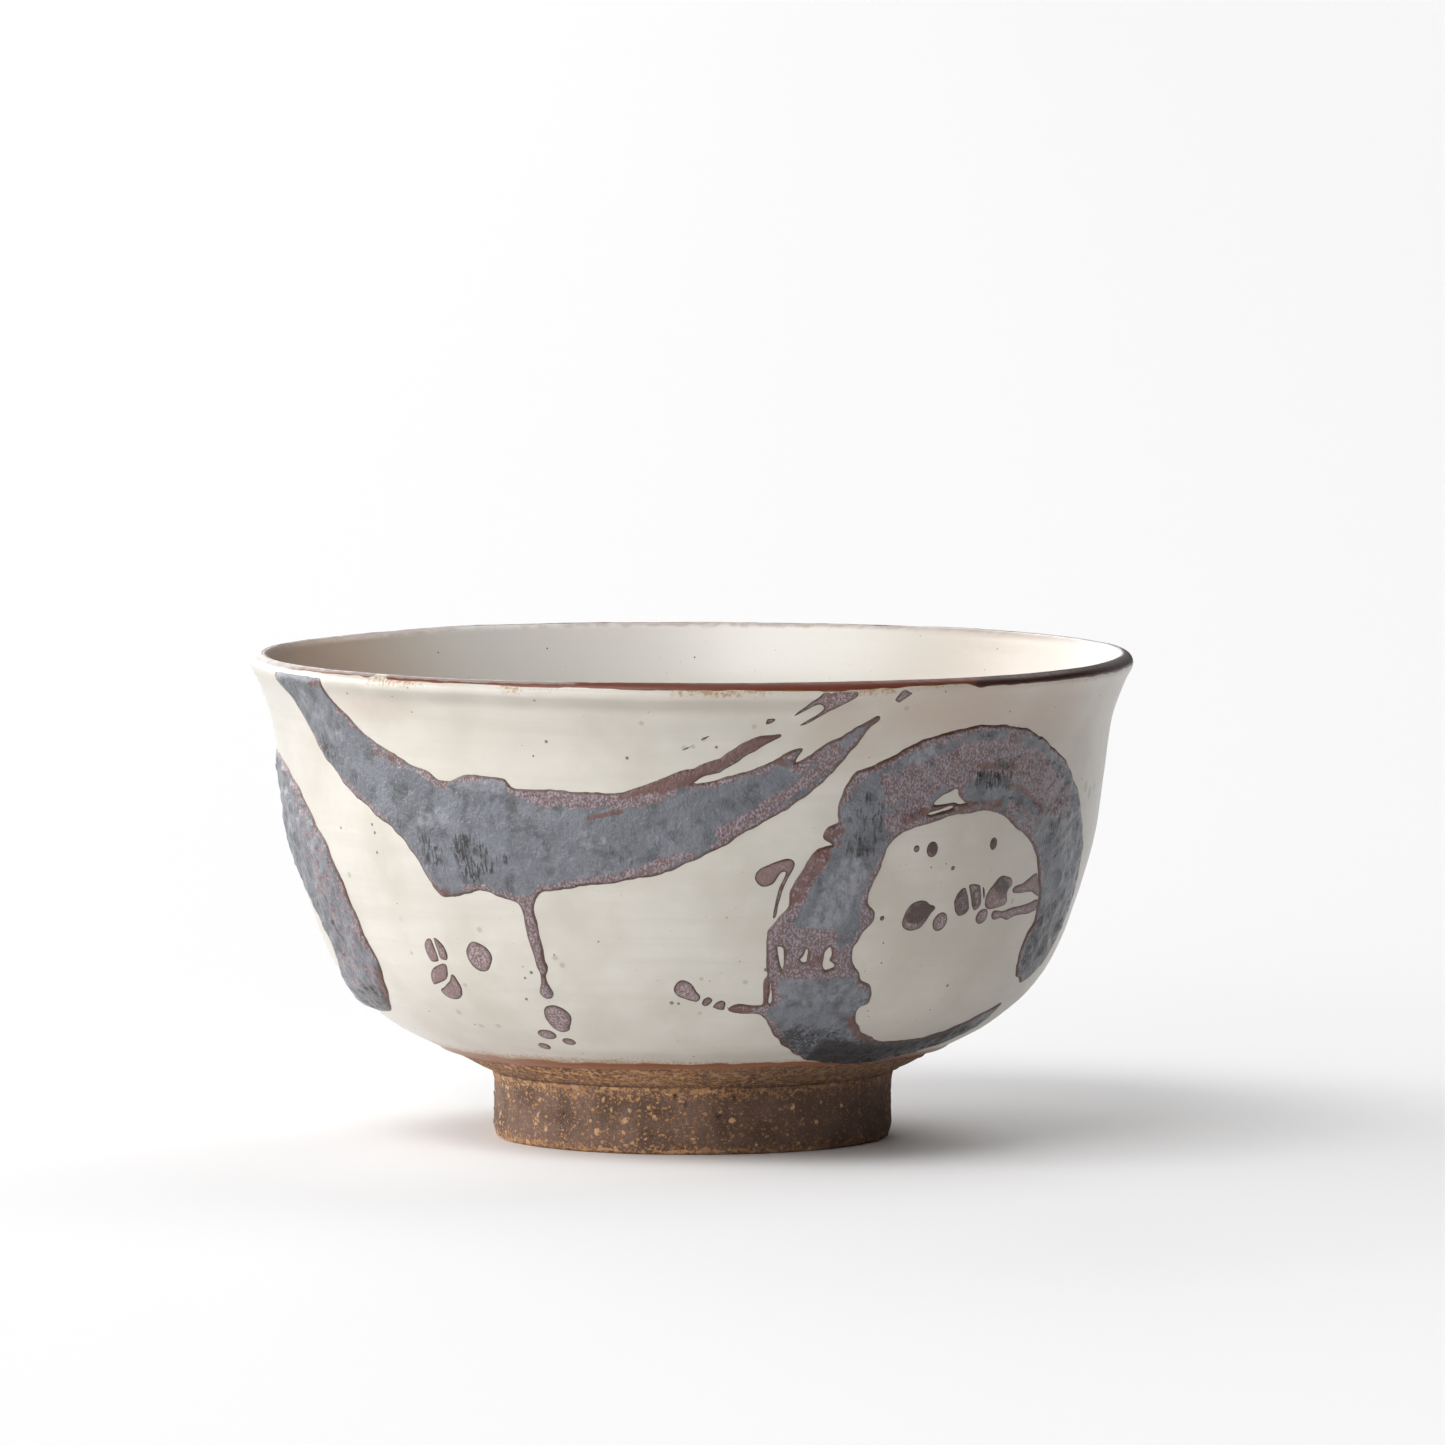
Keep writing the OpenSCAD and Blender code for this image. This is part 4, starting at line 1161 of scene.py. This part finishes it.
# The room's soft windows, in degrees: azimuth from and to, height above the horizon from and to,
# and strength. Azimuth 0 is the camera's side, and it grows towards +X.
WINDOWS = [
    (-120, -76, 2, 30, 6.8),
    (-76, -6, 2, 22, 4.8),
    (-76, -6, 22, 42, 0.7),
    (-76, -6, 42, 66, 6.1),
    (-190, -120, 0, 30, 3.9),
    (120, 177, 30, 66, 2.2),
    (-190, 190, 66, 95, 0.75),
]
WINDOW_EDGE = 3
ROOM_GLOW = 0.015

CAMERA_ELEVATION = 4.37
CAMERA_DISTANCE_M = 2.0
CAMERA_LENS_MM = 366
SENSOR_WIDTH_MM = 36
SIGHT_M = 100
AIM_RIGHT_M = 0.0041
AIM_BELOW_LIP_M = 0.0096


def floor():
    """A plain pale floor, with painted shade a touch darker to the right."""
    mesh = bpy.data.meshes.new("floor")
    corners = [
        (FLOOR_RADIUS_M * math.cos(a), FLOOR_RADIUS_M * math.sin(a), 0)
        for a in np.linspace(0, 2 * math.pi, FLOOR_CORNERS, endpoint=False)
    ]
    mesh.from_pydata(corners, [], [list(range(FLOOR_CORNERS))])
    plane = bpy.data.objects.new("floor", mesh)
    bpy.context.scene.collection.objects.link(plane)
    m = Shader("pale_floor")
    across = m.put("ShaderNodeSeparateXYZ", {"Vector": m.place}, "X")
    m.color = m.mix(m.ramp(across, -FLOOR_FADE_M, FLOOR_FADE_M), FLOOR_PALE, FLOOR_PAINTED_SHADE)
    mesh.materials.append(m.finish(MATT, m.clouds(FLOOR_GRAIN), FLOOR_BUMP_M, FLOOR_IOR))


def sky():
    """Large soft windows at the left and behind, and a dim room elsewhere."""
    world = bpy.data.worlds.new("studio")
    bpy.context.scene.world = world
    world.use_nodes = True
    m = Nodes(world.node_tree)
    toward = m.put("ShaderNodeTexCoord", {}, "Generated")
    x, y, z = (m.put("ShaderNodeSeparateXYZ", {"Vector": toward}, axis) for axis in "XYZ")
    azimuth = m.math("DEGREES", m.math("ARCTAN2", x, m.times(y, -1.0)))
    height = m.math("DEGREES", m.math("ARCSINE", z))
    glow = ROOM_GLOW
    for left, right, low, high, strength in WINDOWS:
        opening = strength
        for value, start, end in ((azimuth, left, right), (height, low, high)):
            opening = m.times(opening, m.ramp(value, start - WINDOW_EDGE, start + WINDOW_EDGE))
            opening = m.times(opening, m.ramp(value, end + WINDOW_EDGE, end - WINDOW_EDGE))
        glow = m.plus(glow, opening)
    back = m.put("ShaderNodeBackground", {"Strength": glow})
    out = m.tree.nodes.new("ShaderNodeOutputWorld")
    m.tree.links.new(back, out.inputs["Surface"])


def camera():
    """The camera, a little above the lip and looking down at the bowl."""
    data = bpy.data.cameras.new("camera")
    data.lens = CAMERA_LENS_MM
    data.sensor_width = SENSOR_WIDTH_MM
    data.clip_end = SIGHT_M
    eye = bpy.data.objects.new("camera", data)
    bpy.context.scene.collection.objects.link(eye)
    e = math.radians(CAMERA_ELEVATION)
    aim_z = cad_box[1].z - AIM_BELOW_LIP_M
    back, up = CAMERA_DISTANCE_M * math.cos(e), CAMERA_DISTANCE_M * math.sin(e)
    eye.location = (AIM_RIGHT_M, -back, aim_z + up)
    eye.rotation_euler = (math.radians(90) - e, 0, 0)
    bpy.context.scene.camera = eye


# ---- the bowl

# Where the iron is thin, rusty, dark or pale: half width in mm, strength, and the path's points as
# angle and height
SWEEP_ZONES = {
    "thin": [
        (0.8, 0.85, (4, 46), (10, 49.3), (16, 53.3), (20, 56.8)),
        (1.1, 0.8, (-22, 50.4), (-14, 50.1), (-7, 50.5), (-3, 51.8)), (0.8, 0.7, (14, 54.5), (19, 57.3)),
        (1.5, 0.8, (-24.4, 35.5), (-24, 30), (-23.5, 24)), (0.9, 0.5, (-47.5, 55.8), (-43, 54.3)),
        (0.7, 0.6, (-22, 38), (-12, 39.5), (0, 43)), (0.7, 0.5, (-34, 37.6), (-29, 37.6)),
    ],
    "rust": [
        (0.8, 1.0, (-9.5, 51.2), (-5, 52.2), (-1.5, 53.2), (2, 54.8), (6, 56.9), (10, 58.6), (12, 59.2)),
        (1.2, 1.0, (-4, 52.4), (-1, 53.4), (2, 54.9), (5, 56.3)), (0.5, 0.8, (20, 54.9), (22.6, 57.6)),
        (0.8, 0.7, (23, 59), (25.4, 61)), (0.35, 0.9, (-14, 47.9), (-9.5, 48.8)),
        (0.6, 0.6, (-47, 55.6), (-43, 54.2)), (0.7, 0.8, (-39.6, 37.4), (-37, 36.6)),
        (0.5, 0.7, (-58.5, 64.3), (-56.3, 64)), (0.6, 0.8, (12, 55.5), (13.5, 55.3)),
        (0.6, 0.35, (-24, 33), (-24, 28)),
    ],
    "dark": [
        (1.6, 0.6, (-40, 43), (-38, 41.4)), (2.0, 0.85, (-33.4, 43.4), (-32.4, 40.6)),
        (1.4, 0.7, (-31, 43.4), (-30, 41)), (1.4, 0.6, (-60, 55.8), (-57, 54.3)),
        (0.9, 0.5, (-54.5, 52.5), (-53, 51.5)), (0.8, 0.35, (-64, 59), (-61, 57)),
        (0.8, 0.4, (-44, 50.2), (-41.5, 50.4)), (0.7, 0.4, (-34.5, 47), (-34, 46)),
        (0.8, 0.4, (-48, 47.5), (-47, 46.5)), (0.7, 0.5, (-44.5, 46), (-43.8, 45.5)),
        (1.0, 0.4, (-10.5, 43.5), (-9, 42)), (0.7, 0.5, (-27.5, 42.2), (-26.5, 41.8)),
    ],
    "pale": [
        (1.1, 0.5, (-32, 52.1), (-27, 51.7)), (2.0, 0.35, (-62, 62), (-56, 57)),
        (1.6, 0.35, (-40, 47), (-36, 47.5)), (1.4, 0.35, (-16, 45), (-13, 45)),
    ],
}
RING_ZONES = {
    "thin": [
        (1.5, 0.85, (12.6, 33.4), (15, 38), (17.5, 43), (19.6, 46)),
        (1.0, 0.8, (26.4, 34.5), (27, 41), (30, 45.6), (36, 47.4)),
        (0.8, 0.6, (20.8, 50), (24, 54), (30, 56.6), (40, 58.8)),
        (3.0, 0.7, (29, 51.5), (36, 53), (44, 55.5), (52, 53.5), (58, 50.2), (63, 47.8)),
        (1.6, 0.7, (28.5, 47), (33, 49)), (1.6, 0.85, (12.2, 28.5), (12.6, 33)),
        (1.8, 0.8, (14.5, 31.6), (20, 31)), (1.3, 0.85, (15.4, 30), (15.4, 27.4)),
        (1.3, 0.85, (19, 27.5), (19, 31)), (1.5, 0.85, (22.5, 27.8), (24.3, 29)),
        (1.0, 0.8, (12.5, 27), (26, 26.8)), (0.8, 0.6, (25.2, 31), (26, 34), (25, 38.5)),
        (0.8, 0.6, (18, 41.2), (19, 43)), (1.2, 0.5, (50, 48), (55, 45.5)),
        (0.5, 0.9, (6, 21.9), (10, 21.5)),
    ],
    "rust": [
        (1.3, 0.8, (14.8, 37.5), (16, 39.8), (18.2, 42.8)), (0.5, 0.95, (42.5, 53.8), (50, 53.4)),
        (0.45, 0.95, (49, 50.7), (52, 50.2), (55, 48.6), (58, 46.6)), (0.3, 0.6, (53, 52), (56, 50)),
        (0.7, 0.6, (30, 46.7), (35, 48.6)), (0.7, 0.7, (34, 48), (41, 48.4), (47.5, 48.4)),
        (0.5, 0.7, (48, 57), (50, 56.6)), (0.6, 0.8, (19.3, 45.4), (21, 46)),
        (0.6, 0.8, (18.6, 28), (19.6, 29)), (0.4, 0.9, (13.2, 18.9), (15.5, 17.3), (18, 16.2)),
        (0.9, 0.85, (27.8, 19.9), (30, 18.4), (34, 17.1)), (0.5, 0.8, (6, 21.8), (9.5, 21.5)),
        (0.5, 0.7, (11.6, 25.5), (11.9, 22.6)), (0.5, 0.6, (64, 19), (67.5, 19.2)),
    ],
    "dark": [
        (1.2, 1.1, (43, 51.9), (48.3, 51.5)), (0.7, 0.8, (46, 54), (49, 54)),
        (0.6, 0.8, (59.5, 45.1), (61, 44.4), (63, 43.9)), (0.6, 0.8, (62.3, 47.2), (62.5, 45)),
        (0.5, 0.6, (62.5, 49.3), (64, 48.5)), (1.4, 1.0, (64.8, 32.2), (67.4, 32.8)),
        (1.9, 1.6, (26, 15.2), (32, 14.8), (40, 14.4), (50, 14.8), (60, 16.2)),
        (2.2, 0.9, (18, 17.3), (26, 16.2)), (2.4, 0.45, (24.5, 44), (26, 50)),
        (2.4, 0.95, (64.5, 29.5), (68, 28.5), (71, 28)), (1.8, 0.7, (63, 25.5), (67, 25.5)),
        (2.2, 0.6, (72, 30), (75, 31)), (0.9, 0.6, (71, 25), (74, 25.5)),
        (0.8, 0.5, (73, 38.5), (73.5, 40.5)), (0.7, 0.55, (70.3, 37.2), (70.3, 39.2)),
        (0.8, 0.5, (66.5, 44.5), (67.5, 44.5)), (0.8, 0.55, (70, 45), (71.5, 43)),
        (1.2, 0.6, (58.5, 42.6), (60, 42.3)), (1.0, 0.5, (60.5, 40.5), (63, 40.8)),
        (0.9, 0.6, (76, 35), (77, 33.5)), (1.2, 0.4, (22, 49), (22.4, 48.4)),
        (1.2, 0.4, (26.5, 50.5), (27, 50)), (1.2, 0.4, (22.5, 43.5), (23, 43)),
    ],
    "pale": [
        (1.0, 0.6, (31, 54.8), (34, 56.3)), (0.8, 0.6, (39, 55.8), (41, 55.8)),
        (2.6, 0.6, (18.5, 33), (21, 37), (22.5, 40)), (2.4, 0.35, (14, 24.5), (20, 23.5), (27, 23)),
        (1.2, 0.5, (66, 41), (67.5, 37)), (0.8, 0.65, (66, 46), (68, 42), (70, 38), (72, 35)),
        (0.6, 0.6, (72.5, 41), (74.5, 36)), (0.6, 0.5, (64, 45), (65.5, 43)),
        (0.7, 0.5, (62.5, 26), (64, 24.5)),
    ],
}
LEFT_ZONES = {
    "thin": [
        (6.0, 0.35, (-68, 44), (-64, 32), (-68, 22)), (0.7, 0.6, (-61.5, 36), (-60, 28)),
    ],
    "rust": [
        (1.5, 0.75, (-59.5, 24), (-61, 21.5)), (0.5, 0.5, (-61.3, 36), (-60, 30)),
    ],
    "dark": [
        (2.4, 1.0, (-64, 20.5), (-74, 19.5)), (1.0, 0.5, (-70, 27), (-74, 27)),
        (0.7, 0.6, (-72, 42), (-69, 38)), (0.7, 0.6, (-71, 37), (-68, 33)),
        (0.7, 0.6, (-69, 31), (-66.5, 27)), (0.6, 0.5, (-74, 46), (-71, 43)),
        (0.8, 0.5, (-74, 33), (-72, 29)),
    ],
    "pale": [
        (2.0, 0.5, (-68, 43), (-70, 36)),
    ],
}
DROP_ZONES = {
    "ring_inner_drops": {
        "dark": [
            (1.6, 0.9, (34.5, 34.2), (36.5, 34.6)), (1.3, 0.6, (42.6, 36), (43.4, 34.4)),
            (1.0, 0.5, (45.4, 36.6), (46, 35)), (1.2, 0.7, (50, 37.4), (51.6, 36.2)),
            (0.8, 0.8, (35.6, 42.9), (35.6, 43)), (0.6, 0.9, (47.2, 43), (47.2, 42.6)),
        ],
        "rust": [
            (1.2, 0.6, (49, 35.4), (53, 35)), (1.0, 0.5, (55, 36.4), (60, 36.8)),
            (0.8, 0.4, (52, 33), (62, 33.6)),
        ],
    },
    "ring_flicks": {
        "rust": [
            (1.8, 0.9, (9.6, 39.6), (13.6, 41.8)),
        ],
    },
    "left_drops": {
        "rust": [
            (1.4, 0.9, (-42.5, 25.4), (-41.6, 23.4)), (0.8, 0.6, (-42.9, 29), (-43.6, 28)),
        ],
    },
}
BACK_ZONES = {
    "thin": [
        (1.4, 0.75, (146, 51), (160, 50.6), (178, 52.5)), (1.6, 0.7, (194, 57), (204, 60)),
        (1.5, 0.8, (149.5, 38), (149.3, 28)),
    ],
    "rust": [
        (0.5, 0.8, (150, 51.5), (170, 51.8)), (0.7, 0.7, (200, 59.5), (206, 61.6)),
    ],
    "dark": [
        (1.6, 0.6, (146, 44), (154, 43)), (1.2, 0.5, (126, 58), (130, 55)),
    ],
    "pale": [
        (2.4, 0.5, (118, 62), (124, 57)), (1.6, 0.4, (160, 46), (172, 47)),
    ],
}

# Each thick stroke's height, hammering, grid cell and wobble of the outline in mm, and its zones
STROKES = {
    "sweep_stroke": (0.26, 0.14, 0.22, 0.20, SWEEP_ZONES),
    "ring_stroke": (0.32, 0.38, 0.24, 0.20, RING_ZONES),
    "left_ring_stroke": (0.33, 0.42, 0.26, 0.22, LEFT_ZONES),
    "back_sweep_stroke": (0.28, 0.12, 0.26, 0.22, BACK_ZONES),
}
# The same four measures for every thin mark
THIN_SHAPE = (0.16, 0.03, 0.14, 0.08)
THIN_MARKS = ("sweep_dry_streaks", "sweep_drops", "left_drops", "ring_inner_drops", "ring_flicks",
              "back_drops")


def build():
    """Makes every piece of the bowl."""
    cream, thick, thin = cream_glaze(), iron_glaze(), iron_thin()
    clay = bare_clay()
    body_piece(clay)
    foot_piece(clay)
    outer_coat(cream)
    inner_coat(cream)
    lip_band(rim_iron())
    for node, (*shape, zones) in STROKES.items():
        brush_mark(node, "iron_glaze", thick, *shape, zones)
    for node in THIN_MARKS:
        brush_mark(node, "iron_thin", thin, *THIN_SHAPE, DROP_ZONES.get(node, {}))


bpy.context.scene.view_settings.view_transform = "Standard"
camera()
build()
floor()
sky()
